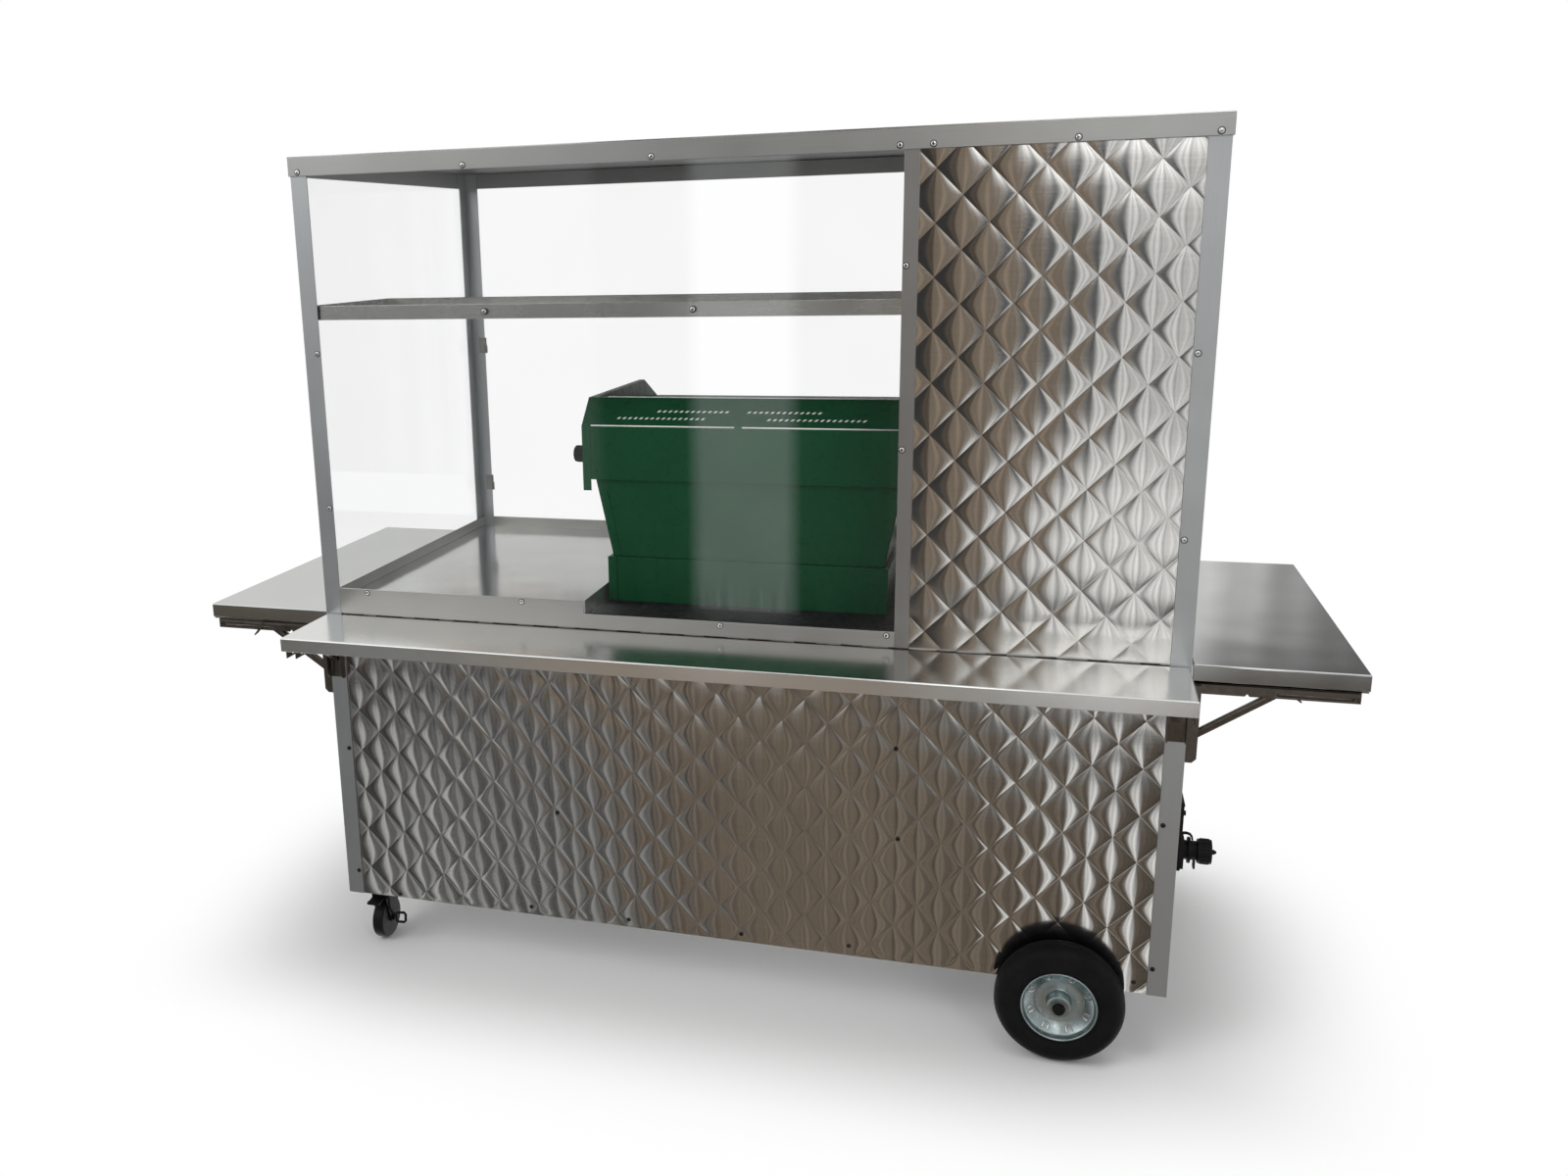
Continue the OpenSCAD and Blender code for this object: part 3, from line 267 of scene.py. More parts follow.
# Dark steel for the low screw heads, and for the rings of painted shadow under the bright heads.
DARK = plated_steel("dark_steel_and_painted_shade", (0.05, 0.05, 0.05), 0.4)
ZINC = plated_steel("zinc", (0.30, 0.30, 0.29), 0.34)
BRACKET = plated_steel("bracket_steel", (0.15, 0.13, 0.115), 0.36)
BRIGHT = plated_steel("bright_steel", (0.62, 0.62, 0.6), 0.25)
RIM = plated_steel("rim_zinc", (0.42, 0.49, 0.50), 0.3, 60)
CHROME = plated_steel("chrome", (0.75, 0.75, 0.75), 0.12)
TYRE = plastic("tyre_rubber", (0.006, 0.006, 0.0065), 0.6, 500, 0.00006, specular=0.1)
RUBBER = plastic("mat_rubber", (0.006, 0.006, 0.0065), 0.6, 900, 0.0002, specular=0.12)
BLACK = plastic("black_plastic", (0.006, 0.006, 0.0065), 0.45, specular=0.15)
# Near-white for the vent slots and the machine's pale strips: painted reflection and painted highlight.
PAINTED_REFLECTION_WHITE = plastic("painted_reflection_and_highlight", (0.9, 0.9, 0.88), 0.5, spread=0.04)
TANK = plastic("tank_plastic", (0.62, 0.64, 0.6), 0.5)
GREEN = enamel("machine_green", (0.004, 0.060, 0.022))
QUILT = quilted_steel()
PANE = clear_acrylic()


# Pieces

def add_piece(name, mesh, material, body, replaced=()):
    made = bpy.data.objects.new(name, mesh)
    scene.collection.objects.link(made)
    mesh.materials.clear()
    mesh.materials.append(material)
    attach(made, body)
    if replaced:
        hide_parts(*replaced)
    return made


FLAT_AREA = 0.003  # square metres


def smooth_by_angle(mesh_bm, angle):
    """Smooth shading, except on large flats and across edges sharper than the angle."""
    for face in mesh_bm.faces:
        face.smooth = face.calc_area() < FLAT_AREA
    for edge in mesh_bm.edges:
        edge.smooth = len(edge.link_faces) == 2 and edge.calc_face_angle(0) < math.radians(angle)


def soften(node, material, width=0.0008, segments=2, rolled=0.0, hem_up=0.0):
    """The node's own solid with its sharp edges rounded, shown in place of the node. The outline of its
    top can be rolled over more, and its lowest edges can be raised."""
    near, corner = 0.0005, math.radians(32)

    def is_sharp(edge):
        return len(edge.link_faces) == 2 and edge.calc_face_angle(0) > corner

    made = bmesh.new()
    made.from_mesh(nodes[node].data)
    bmesh.ops.remove_doubles(made, verts=made.verts, dist=1e-6)
    bmesh.ops.dissolve_limit(made, angle_limit=math.radians(0.6), verts=made.verts, edges=made.edges)
    lowest, highest = min(v.co.z for v in made.verts), max(v.co.z for v in made.verts)
    for v in made.verts:
        if v.co.z < lowest + near:
            v.co.z += hem_up
    if rolled:
        outline = [e for e in made.edges if all(v.co.z > highest - near for v in e.verts) and is_sharp(e)]
        bmesh.ops.bevel(made, geom=outline, offset=rolled, segments=5, profile=0.5, affect="EDGES")
    sharp = [e for e in made.edges if is_sharp(e)]
    bmesh.ops.bevel(made, geom=sharp, offset=width, segments=segments, profile=0.5, affect="EDGES",
        clamp_overlap=True)
    smooth_by_angle(made, 35)
    mesh = bpy.data.meshes.new(node + "_look")
    made.to_mesh(mesh)
    made.free()
    return add_piece(node + "_look", mesh, material, body_of[node], [node])


def paint(node, material):
    """Gives a CAD node, shown as it is, a finished material."""
    mesh = nodes[node].data
    mesh.materials.clear()
    mesh.materials.append(material)


def paint_by(node, material, other, is_other):
    """Gives a CAD node two finished materials, chosen face by face."""
    paint(node, material)
    mesh, world = nodes[node].data, nodes[node].matrix_world
    mesh.materials.append(other)
    for face in mesh.polygons:
        face.material_index = int(is_other(world @ face.center, world.to_3x3() @ face.normal))


MID_POST_REACH = 0.1  # metres
# Places in mm from the cart's corner; the axle's end faces lie beyond the last two
HANDLE_START_Y = 652
MID_POST_X = 1290
AXLE_END_Y = (-77, 966)


def is_axle_end(point, normal):
    front, rear = [at(0, y, 0).y for y in AXLE_END_Y]
    return abs(normal.y) > 0.9 and not front < point.y < rear


# Quilted panels

CELL_STEPS = (0.0, 0.015, 0.045, 0.09, 0.16, 0.25, 0.37, 0.5, 0.63, 0.75, 0.84, 0.91, 0.955, 0.985)


def quilt_mesh(name, node, half_w, half_h, crossing, tilt, rise):
    """A sheet pressed into crowned diamonds. Its mesh follows the creases: crossing is a place where two of
    them meet, half_w and half_h are half a diamond's width and height, and tilt is their slope."""
    low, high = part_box(node)
    left, right = (low.x - CORNER_X) * 1000, (high.x - CORNER_X) * 1000
    bottom, top = low.z * 1000, high.z * 1000
    crest_y, back_y = (low.y - CORNER_Y) * 1000, (high.y - CORNER_Y) * 1000
    hem = 9.0

    def place(s, t):
        x = crossing[0] + half_w * (s + t)
        return x, crossing[1] + half_h * (s - t) + tilt * (x - crossing[0])

    def crown(s, t):
        """Height of the pillow: a dome lowest at the crossings, and a part as steep all along a crease."""
        arch_s, arch_t = 1 - (2 * (s % 1) - 1) ** 2, 1 - (2 * (t % 1) - 1) ** 2
        dome = (arch_s + arch_t) / 2
        return 0.58 * dome + 0.42 * arch_s * arch_t / max(dome, 1e-9)

    reach_a = [(x - crossing[0]) / half_w for x in (left, right)]
    lean = tilt * (right - left)
    reach_b = [(z - crossing[1]) / half_h for z in (bottom - lean, top + lean)]

    def cells(first, last):
        return range(math.floor(first / 2) - 1, math.ceil(last / 2) + 1)

    s_range = cells(reach_a[0] + reach_b[0], reach_a[1] + reach_b[1])
    t_range = cells(reach_a[0] - reach_b[1], reach_a[1] - reach_b[0])
    n = len(CELL_STEPS)
    made = bmesh.new()
    known = {}

    def vertex(i, j):
        if (i, j) not in known:
            s, t = i // n + CELL_STEPS[i % n], j // n + CELL_STEPS[j % n]
            x, z = place(s, t)
            depth = rise * (1 - crown(s, t))
            edge = min(1.0, max(0.0, (z - bottom) / hem))
            depth = depth * edge + rise * 0.5 * (1 - edge)
            known[i, j] = made.verts.new(at(x, crest_y + depth, z))
        return known[i, j]

    for cell_s in s_range:
        for cell_t in t_range:
            x, z = place(cell_s + 0.5, cell_t + 0.5)
            if not (left - half_w < x < right + half_w and bottom - half_h < z < top + half_h):
                continue
            for i in range(cell_s * n, cell_s * n + n):
                for j in range(cell_t * n, cell_t * n + n):
                    made.faces.new((vertex(i, j), vertex(i + 1, j), vertex(i + 1, j + 1), vertex(i, j + 1)))
    for corner, outward in ((at(left, 0, 0), (-1, 0, 0)), (at(right, 0, 0), (1, 0, 0)),
            (at(0, 0, bottom), (0, 0, -1)), (at(0, 0, top), (0, 0, 1))):
        bmesh.ops.bisect_plane(made, geom=made.verts[:] + made.edges[:] + made.faces[:], dist=1e-7,
            plane_co=corner, plane_no=outward, clear_outer=True)
    rim = [e for e in made.edges if e.is_boundary]
    grown = bmesh.ops.extrude_edge_only(made, edges=rim)["geom"]
    for v in grown:
        if isinstance(v, bmesh.types.BMVert):
            v.co.y = CORNER_Y + back_y / 1000
    bmesh.ops.contextual_create(made, geom=[e for e in made.edges if e.is_boundary])
    bmesh.ops.recalc_face_normals(made, faces=made.faces)
    smooth_by_angle(made, 50)
    mesh = bpy.data.meshes.new(name)
    made.to_mesh(mesh)
    made.free()
    return add_piece(name, mesh, QUILT, body_of[node], [node])


quilt_mesh("front_quilt", "front_panel", half_w=47.1, half_h=49.0, crossing=(60.5, 214.0),
    tilt=16 / 1697, rise=1.5)
quilt_mesh("upper_quilt", "upper_panel", half_w=48.25, half_h=48.95, crossing=(1720.0, 874.0),
    tilt=0.0, rise=1.3)

# Softened sheet metal and the plain finishes

posts = soften("posts", POST, 0.0006)
# Faces of the posts close to the middle post take the darker copy: painted shade.
posts.data.materials.append(MID_POST_SHADE)
for face in posts.data.polygons:
    from_mid = (posts.matrix_world @ face.center).x - at(MID_POST_X, 0, 0).x
    face.material_index = int(abs(from_mid) < MID_POST_REACH)
soften("fascia_trim", FASCIA)
soften("counter_rails", RAIL)
for node in ("rear_panel", "drip_tray"):
    soften(node, STEEL_X)
soften("front_shelf", SHELF, rolled=0.003)
for node in ("left_shelf", "right_shelf"):
    soften(node, STEEL_TOP, rolled=0.003, hem_up=0.006)
for node in ("left_door", "right_door"):
    soften(node, STEEL_Z, 0.0015)
for node in ("machine_base", "machine_waist", "machine_housing", "machine_top"):
    soften(node, GREEN, 0.002, 3)
soften("bracket_wall_legs", BRACKET, 0.0004)
soften("axle_hangers", ZINC, 0.0004)
for side in ("front", "left", "right"):
    for piece in ("_shelf_legs", "_struts", "_levers"):
        soften(side + piece, BRACKET, 0.0004)
soften("overhead_shelf", OVERHEAD, 0.0006)
soften("inlet_housing", BLACK, 0.0012)
soften("machine_mat", RUBBER, 0.0008)
for node in ("counter_top", "floor_pan"):
    paint(node, STEEL_TOP)
paint("side_panels", STEEL_Z)
# The roof's downward faces take the near-black copy of its steel: painted shade.
paint_by("roof_panel", STEEL_TOP, ROOF_UNDERSIDE_SHADE, lambda point, normal: normal.z < -0.5)
for node in ("left_portafilter", "right_portafilter"):
    paint_by(node, CHROME, BLACK, lambda point, normal: point.y > at(0, HANDLE_START_Y, 0).y)
paint("clear_panes", PANE)
nodes["clear_panes"].visible_shadow = False
for node in ("frame_tubes", "caster_plates", "hinge_leaves"):
    paint(node, ZINC)
paint_by("axle", ZINC, BLACK, is_axle_end)
for end in ("front", "rear"):
    for piece in ("fork", "wheel", "brake"):
        paint(f"{end}_caster_{piece}", BLACK)
for node in ("inlet_cap", "water_pump"):
    paint(node, BLACK)
for node in ("group_heads", "left_steam_wand", "right_steam_wand"):
    paint(node, CHROME)
paint("water_tanks", TANK)


# Shapes for the small parts

def build(name, made, material, node, replaced=(), angle=35):
    """Turns a bmesh into a piece that rides with the given node."""
    bmesh.ops.recalc_face_normals(made, faces=made.faces)
    smooth_by_angle(made, angle)
    mesh = bpy.data.meshes.new(name)
    made.to_mesh(mesh)
    made.free()
    return add_piece(name, mesh, material, body_of[node], replaced)


def bridge(made, rings, closed=False):
    """Joins rings of corners by faces; a ring of one corner is a pole."""
    for a, b in list(zip(rings, rings[1:])) + ([(rings[-1], rings[0])] if closed else []):
        count = max(len(a), len(b))
        for k in range(count):
            n = (k + 1) % count
            corners = [a[k % len(a)], a[n % len(a)], b[n % len(b)], b[k % len(b)]]
            made.faces.new(list(dict.fromkeys(corners)))


def lathe(made, place, profile, closed=False, steps=64, flutes=0, flute_depth=0.0):
    """Turns a profile of radii and heights, in mm, about the z axis of a placement."""
    rings = []
    for r, h in profile:
        ring = []
        for k in range(steps if r else 1):
            angle = 2 * math.pi * k / steps
            reach = r - (flute_depth * (1 - math.cos(flutes * angle)) / 2 if r > 3 * flute_depth else 0)
            point = Vector((reach * math.cos(angle), reach * math.sin(angle), h))
            ring.append(made.verts.new(place @ point))
        rings.append(ring)
    bridge(made, rings, closed)


def tube(made, place, points, radius, steps=10, loop=False):
    """A round bar along points given in mm in a placement."""
    points = [Vector(p) for p in points]
    last = len(points) - 1
    rings, normal = [], None
    for i, point in enumerate(points):
        after = (i + 1) % (last + 1) if loop else min(i + 1, last)
        ahead = points[after] - points[i - 1 if loop or i else 0]
        ahead.normalize()
        normal = ahead.orthogonal() if normal is None else normal - ahead * normal.dot(ahead)
        normal.normalize()
        other = ahead.cross(normal)
        turns = [2 * math.pi * k / steps for k in range(steps)]
        spokes = [radius * (math.cos(a) * normal + math.sin(a) * other) for a in turns]
        rings.append([made.verts.new(place @ (point + spoke)) for spoke in spokes])
    bridge(made, rings, loop)
    if not loop:
        made.faces.new(rings[0])
        made.faces.new(rings[-1])


def plate(made, place, outline, thickness, edge=0.0):
    """A flat plate: an outline in the placement's xy plane, in mm, thickened along z, with an upper
    rim that can be bevelled."""
    corners = [Vector(p) for p in outline]
    middle = sum(corners, Vector((0, 0))) / len(corners)
    levels = [(0.0, 0.0)] + ([(thickness - edge, 0.0)] if edge else []) + [(thickness, edge)]
    rings = []
    for height, inset in levels:
        ring = []
        for corner in corners:
            pulled = corner + (middle - corner).normalized() * inset
            ring.append(made.verts.new(place @ Vector((pulled.x, pulled.y, height))))
        rings.append(ring)
    bridge(made, rings)
    made.faces.new(rings[0])
    made.faces.new(rings[-1])


MM = Matrix.Scale(0.001, 4)
FACES = {"-Y": Matrix.Rotation(math.pi / 2, 4, "X"), "+Y": Matrix.Rotation(-math.pi / 2, 4, "X"),
    "-X": Matrix.Rotation(-math.pi / 2, 4, "Y"), "+X": Matrix.Rotation(math.pi / 2, 4, "Y"), "+Z": Matrix()}


def block(x0, x1, y0, y1):
    """The outline of a rectangle."""
    return [(x0, y0), (x1, y0), (x1, y1), (x0, y1)]


def facing(point, direction):
    """A placement at a point whose z axis points in a direction; its lengths are mm."""
    return Matrix.Translation(point) @ FACES[direction] @ MM


def middle_of(node):
    low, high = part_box(node)
    return (low + high) / 2


# Pan-head screws

def pan_head(made, place, radius=4.5, height=2.3):
    """A domed screw head with a cross recess."""
    arm, half, deep = 0.45 * radius, 0.12 * radius, 0.4 * radius
    corners = []
    for quarter in range(4):
        turn = Matrix.Rotation(quarter * math.pi / 2, 2)
        corners += [turn @ Vector(p) for p in ((arm, -half), (arm, half), (half, half))]
    cross = [p for a, b in zip(corners, corners[1:] + corners[:1]) for p in (a, (a + b) / 2)]
    angles = [math.radians(90 * quarter + a) for quarter in range(4) for a in (-15, 0, 15, 30, 45, 60)]
    rings = []
    for k, h in ((1, -0.25), (1, 0.2), (0.96, 0.55), (0.84, 0.84), (0.62, 1.0)):
        dome = [Vector((k * radius * math.cos(a), k * radius * math.sin(a), h * height)) for a in angles]
        rings.append([made.verts.new(place @ point) for point in dome])
    for level, k in ((height, 1.0), (height - deep, 0.8)):
        rings.append([made.verts.new(place @ Vector((k * p.x, k * p.y, level))) for p in cross])
    bridge(made, rings)
    made.faces.new(rings[0])
    made.faces.new(rings[-1])


def screw_places():
    """Middle of the inner face, and outward direction, of each plain screw head in the CAD node."""
    made = bmesh.new()
    made.from_mesh(nodes["panel_screws"].data)
    bmesh.ops.remove_doubles(made, verts=made.verts, dist=1e-6)
    left, found = set(made.verts), []
    while left:
        group, queue = set(), [left.pop()]
        while queue:
            v = queue.pop()
            group.add(v)
            for e in v.link_edges:
                other = e.other_vert(v)
                if other in left:
                    left.discard(other)
                    queue.append(other)
        world = [nodes["panel_screws"].matrix_world @ v.co for v in group]
        low = Vector([min(p[i] for p in world) for i in range(3)])
        high = Vector([max(p[i] for p in world) for i in range(3)])
        axis = min(range(3), key=lambda i: high[i] - low[i])
        point = (low + high) / 2
        outward = point[axis] > (post_low[axis] + post_high[axis]) / 2
        point[axis] = low[axis] if outward else high[axis]
        found.append((point, ("+" if outward else "-") + "XYZ"[axis]))
    made.free()
    return sorted(found, key=lambda f: tuple(round(c, 5) for c in f[0]))


LOW_SCREWS = 0.8  # metres; below this height the heads are dark
BRIGHT_R, DARK_R = 5.2, 5
# Profile of a dark ring under each bright screw head: a painted shadow round the head.
HEAD_SHADE_RING = ((0, -0.4), (6.6, -0.4), (6.6, 0.3), (6.2, 0.5), (0, 0.5))
# Screws on the lower quilted panel: x and z; and how far they lie behind the posts' front
QUILT_SCREWS = ((133, 151), (467, 162), (540, 402), (701, 161), (959, 161), (1194, 166), (1284, 622),
    (1292, 424), (1766, 166))
QUILT_SCREW_Y = 4.2
bright_heads, dark_heads, shade_rings = bmesh.new(), bmesh.new(), bmesh.new()
for point, direction in screw_places():
    if point.z > LOW_SCREWS:
        pan_head(bright_heads, facing(point, direction), BRIGHT_R)
        # A dark ring under the head: painted shadow.
        lathe(shade_rings, facing(point, direction), HEAD_SHADE_RING, steps=28)
    else:
        pan_head(dark_heads, facing(point, direction), DARK_R)
for x, z in QUILT_SCREWS:
    pan_head(dark_heads, facing(at(x, QUILT_SCREW_Y, z), "-Y"), DARK_R)
build("screw_heads", bright_heads, CHROME, "panel_screws", replaced=["panel_screws"])
build("low_screw_heads", dark_heads, DARK, "panel_screws")
# The dark rings are painted shadow round the bright heads.
build("screw_head_shade_rings", shade_rings, DARK, "panel_screws")

# End shelves' legs: a strip up to the pan's hem and a web sunk in each sliding slot

LEG_HALF = 12.0
STRIP_HALF, STRIP_H = 11, 6.6
SLOT_LOW, SLOT_HIGH = 786, 794
WEB_IN, WEB_T = 1.6, 1
for side, way in (("left", 1), ("right", -1)):
    low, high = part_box(side + "_shelf_legs")
    inner_x, outer_x = [(v.x - CORNER_X) * 1000 for v in ((high, low) if side == "left" else (low, high))]
    first_y = ((high if way > 0 else low).y - CORNER_Y) * 1000 - way * LEG_HALF
    slot_x, end_x = [outer_x + (inner_x - outer_x) * k for k in (0.52, 0.01)]
    made = bmesh.new()
    for y in (first_y, BODY_D - first_y):
        strip = block(inner_x, outer_x, -STRIP_HALF, STRIP_HALF)
        plate(made, facing(at(0, y, high.z * 1000), "+Z"), strip, STRIP_H)
        for direction, turn in (("+Y", -1), ("-Y", 1)):
            cheek = facing(at(0, y - turn * (LEG_HALF - WEB_IN), 0), direction)
            plate(made, cheek, block(slot_x, end_x, turn * SLOT_LOW, turn * SLOT_HIGH), WEB_T)
    build(side + "_leg_covers", made, BRACKET, side + "_shelf_legs")

# Wheels

RIM_PROFILE = ((75, 24), (75, 26.5), (74.3, 28.2), (72.6, 28.8), (71.1, 27.8), (70.6, 26), (70.1, 22),
    (69, 17.6), (66, 14.6), (50, 4.7), (47.4, 3.6), (44, 3.2), (28, 3.2), (25.4, 4), (24, 6.4), (24, 29.4),
    (23.2, 30.4), (20.4, 30.4), (19.8, 29.2), (17.8, 29.2), (17.2, 30.4), (9.9, 30.4), (9.9, -30.4),
    (23.2, -30.4), (24, -29.4), (24, -1.5), (26, 0.2), (47.6, 0.6), (50.5, 1.8), (66, 11.4), (71.4, 12.5),
    (71.8, -26), (72.6, -28), (75, -28))
HALF_TYRE = ((75.3, 0), (75.3, 25.6), (76.6, 27.4), (79.4, 28), (81, 27.2), (82.6, 28.6), (90, 30.4),
    (101, 31), (104.4, 30.9), (105.4, 30.3), (106.4, 30.8), (111, 29.9), (116.6, 27.4), (121.2, 23.2),
    (124.6, 17.4), (126.4, 11.6), (126.9, 8.6), (124.8, 8), (124.8, 6.4), (127, 5.8))
LUG = ((-5.4, 6.5), (-5.4, -1.4), (-4, -4.8), (0, -6.4), (4, -4.8), (5.4, -1.4), (5.4, 6.5))
LUG_TURNS = range(22, 360, 45)
LUG_R, LUG_H = 58, 10
CONE_OUT, CONE_UP = 0.85, 0.53
DUST_CAP = ((9.7, 40.8), (10.6, 40.2), (11.4, 37.6), (12.6, 35), (12.8, 33.8), (9.7, 33.8))
RIM_BOLT = ((0, 0), (5.6, 0), (6, 0.6), (6, 4), (5.2, 4.6), (3, 4.6), (3, 7.4), (2.4, 8), (0, 8))
RIM_BOLT_AT = (0, -33, 3.2)
for end, direction in (("front", "-Y"), ("rear", "+Y")):
    hub = facing(middle_of(end + "_tyre"), direction)
    made = bmesh.new()
    lathe(made, hub, RIM_PROFILE, closed=True, steps=96)
    build(end + "_rim_look", made, RIM, end + "_rim", replaced=[end + "_rim"])
    made = bmesh.new()
    for turn in LUG_TURNS:
        on_cone = hub @ Matrix.Rotation(math.radians(turn), 4, "Z")
        tube(made, on_cone, [(LUG_R + CONE_OUT * v, u, LUG_H + CONE_UP * v) for u, v in LUG], 2, 8)
    build(end + "_rim_lugs", made, BRIGHT, end + "_rim")
    made = bmesh.new()
    lathe(made, hub, HALF_TYRE + tuple((r, -h) for r, h in reversed(HALF_TYRE[1:])), closed=True, steps=96)
    build(end + "_tyre_look", made, TYRE, end + "_tyre", replaced=[end + "_tyre"])
    made = bmesh.new()
    lathe(made, hub, DUST_CAP, closed=True, steps=40)
    build(end + "_dust_cap", made, BLACK, "axle")
    made = bmesh.new()
    lathe(made, hub @ Matrix.Translation(RIM_BOLT_AT), RIM_BOLT, steps=6)
    build(end + "_rim_bolt", made, BRIGHT, end + "_rim", angle=25)

# Casters: the brake's side arm with its loop pedal, and the axle's nuts

PIN_IN, FORK_HALF = 0.006, 0.019  # metres
PEDAL_ARM = ((23.5, 0, 0), (24, -3, -14), (27, -6, -28), (35, -8, -38), (46, -9, -42))
PEDAL_LOOP = ((45, -40), (48, -35), (66, -33), (70, -37), (69, -54), (65, -58), (48, -59), (45, -55))
for end, way in (("front", 1), ("rear", -1)):
    wheel, brake = middle_of(end + "_caster_wheel"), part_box(end + "_caster_brake")
    pin = Vector((wheel.x, 0, brake[1].z - PIN_IN))
    pin.y = brake[1].y - PIN_IN if way > 0 else brake[0].y + PIN_IN
    place = Matrix.Translation(pin) @ Matrix.Diagonal((1, way, 1, 1)) @ MM
    made = bmesh.new()
    tube(made, place, [(20, 0, 0), (26, 0, 0)], 6, 14)
    tube(made, place, PEDAL_ARM, 3.4)
    tube(made, place, [(x, PEDAL_ARM[-1][1], z) for x, z in PEDAL_LOOP], 3.2, loop=True)
    build(end + "_caster_pedal", made, BLACK, end + "_caster_brake")
    made = bmesh.new()
    for direction, out, reach in (("-X", -FORK_HALF, 9), ("+X", FORK_HALF, 7)):
        nut = ((0, 0.2), (8.4, 0.2), (9, 0.9), (9, 5.4), (8, 6.2), (4.4, 6.2), (4.4, reach),
            (3.6, reach + 0.8), (0, reach + 0.8))
        lathe(made, facing(wheel + Vector((out, 0, 0)), direction), nut, steps=6)
    build(end + "_caster_nuts", made, BLACK, end + "_caster_fork", angle=25)

# Power inlet: strap, tab under the collar and the cap's tip

INLET_Y = 76
STRAP = ((1836, 466), (1850, 468), (1857, 466), (1861, 461), (1862, 455))
TIP = ((0, 4.4), (2.4, 4), (3.4, 2.6), (3.6, 0.4), (5, -0.4), (0, -0.4))
made = bmesh.new()
for y in (-3, 0, 3):
    tube(made, Matrix.Translation(at(0, INLET_Y, 0)) @ MM, [(x, y, z) for x, z in STRAP], 1.9, 8)
plate(made, facing(at(1866, INLET_Y, 400), "+X"), ((-12, -7), (4, -10), (4, 10), (-12, 7)), 4, 1)
build("inlet_strap", made, BLACK, "inlet_housing")
made = bmesh.new()
lathe(made, facing(at(1904, INLET_Y, 432), "+X"), TIP, steps=20)
build("inlet_tip", made, BLACK, "inlet_cap")

# Espresso machine: vents, seam strips, end plates and knobs

BACK_Y, WAIST_Y = 150, 160
MIDDLE_X = 937
# Rows of slots on the sloping cover: first x, count and y; and what their height adds to y
VENT_ROWS = ((742.6, 13, 178.4), (941.0, 13, 178.4), (655.6, 16, 164.8), (986.0, 17, 164.8))
VENT_PITCH, COVER_RISE = 12.5, 1103
SLOPE = math.sqrt(0.5)
COVER = Matrix(((1, 0, 0), (0, SLOPE, -SLOPE), (0, SLOPE, SLOPE))).to_4x4()
# The slots are white inlays: a painted reflection of the bright tray floor seen through them.
made = bmesh.new()
for x, count, y in VENT_ROWS:
    for k in range(count):
        slot_at = Matrix.Translation(at(x + VENT_PITCH * k, y, y + COVER_RISE)) @ COVER @ MM
        plate(made, slot_at, ((-1, -2.4), (4, -2.4), (8.5, 2.4), (3.5, 2.4)), 0.5, 0.2)
build("machine_vents", made, PAINTED_REFLECTION_WHITE, "machine_top")
# Pale strips along the back seam and on the cover's top flange. The seam strip is a real edge, and the pale
# colour of both is a painted highlight.
made = bmesh.new()
for left, right in ((599, 917.8), (934.6, 1275)):
    plate(made, facing(at(0, BACK_Y, 1253), "-Y"), block(left, right, -1.4, 1.4), 0.7)
plate(made, facing(at(0, 206, 1308), "+Z"), block(622, 1252, 0, 10), 1.2)
build("machine_highlight_strips", made, PAINTED_REFLECTION_WHITE, "machine_housing")
made = bmesh.new()
back, waist_back = [facing(at(0, y, 0), "-Y") for y in (BACK_Y, WAIST_Y)]
END_PLATES = ((back, block(577.6, 596, 1109.4, 1252), 1.2, 0.5),
    (back, block(629.6, 650, 862, 962.5), 2, 0.6),
    (waist_back, ((639.5, 962), (657.5, 962), (630, 1107), (612, 1107)), 1.6, 0.5))
for end in (1, -1):
    for place, outline, thickness, edge in END_PLATES:
        plate(made, place, [(MIDDLE_X + end * (x - MIDDLE_X), z) for x, z in outline], thickness, edge)
    pan_head(made, facing(at(MIDDLE_X + end * (606 - MIDDLE_X), BACK_Y, 1152), "-Y"), 4, 2.2)
build("machine_end_plates", made, GREEN, "machine_housing")
KNOB = ((0, 28), (6, 28), (13.6, 27.4), (17.6, 25.6), (19, 21.5), (19, 5), (17.6, 1.4), (15, 0), (4.7, 0),
    (4.7, 23.8), (0, 23.8))
for end, direction, side in (("left", "-X", 1), ("right", "+X", 0)):
    low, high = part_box(end + "_steam_knob")
    foot = (low + high) / 2
    foot.x = (low, high)[side].x
    made = bmesh.new()
    lathe(made, facing(foot, direction), KNOB, steps=72, flutes=12, flute_depth=2.4)
    build(end + "_steam_knob_look", made, BLACK, end + "_steam_knob", replaced=[end + "_steam_knob"])


# Floor, light and background

FOOTPRINT = (0.93, 0.44, 10.0)
FADE = 0.6  # metres


def vector_math(tree, operation, value, other=None):
    made = tree.nodes.new("ShaderNodeVectorMath")
    made.operation = operation
    tree.links.new(value, made.inputs[0])
    if other is not None:
        made.inputs[1].default_value = other
    return made.outputs[0]


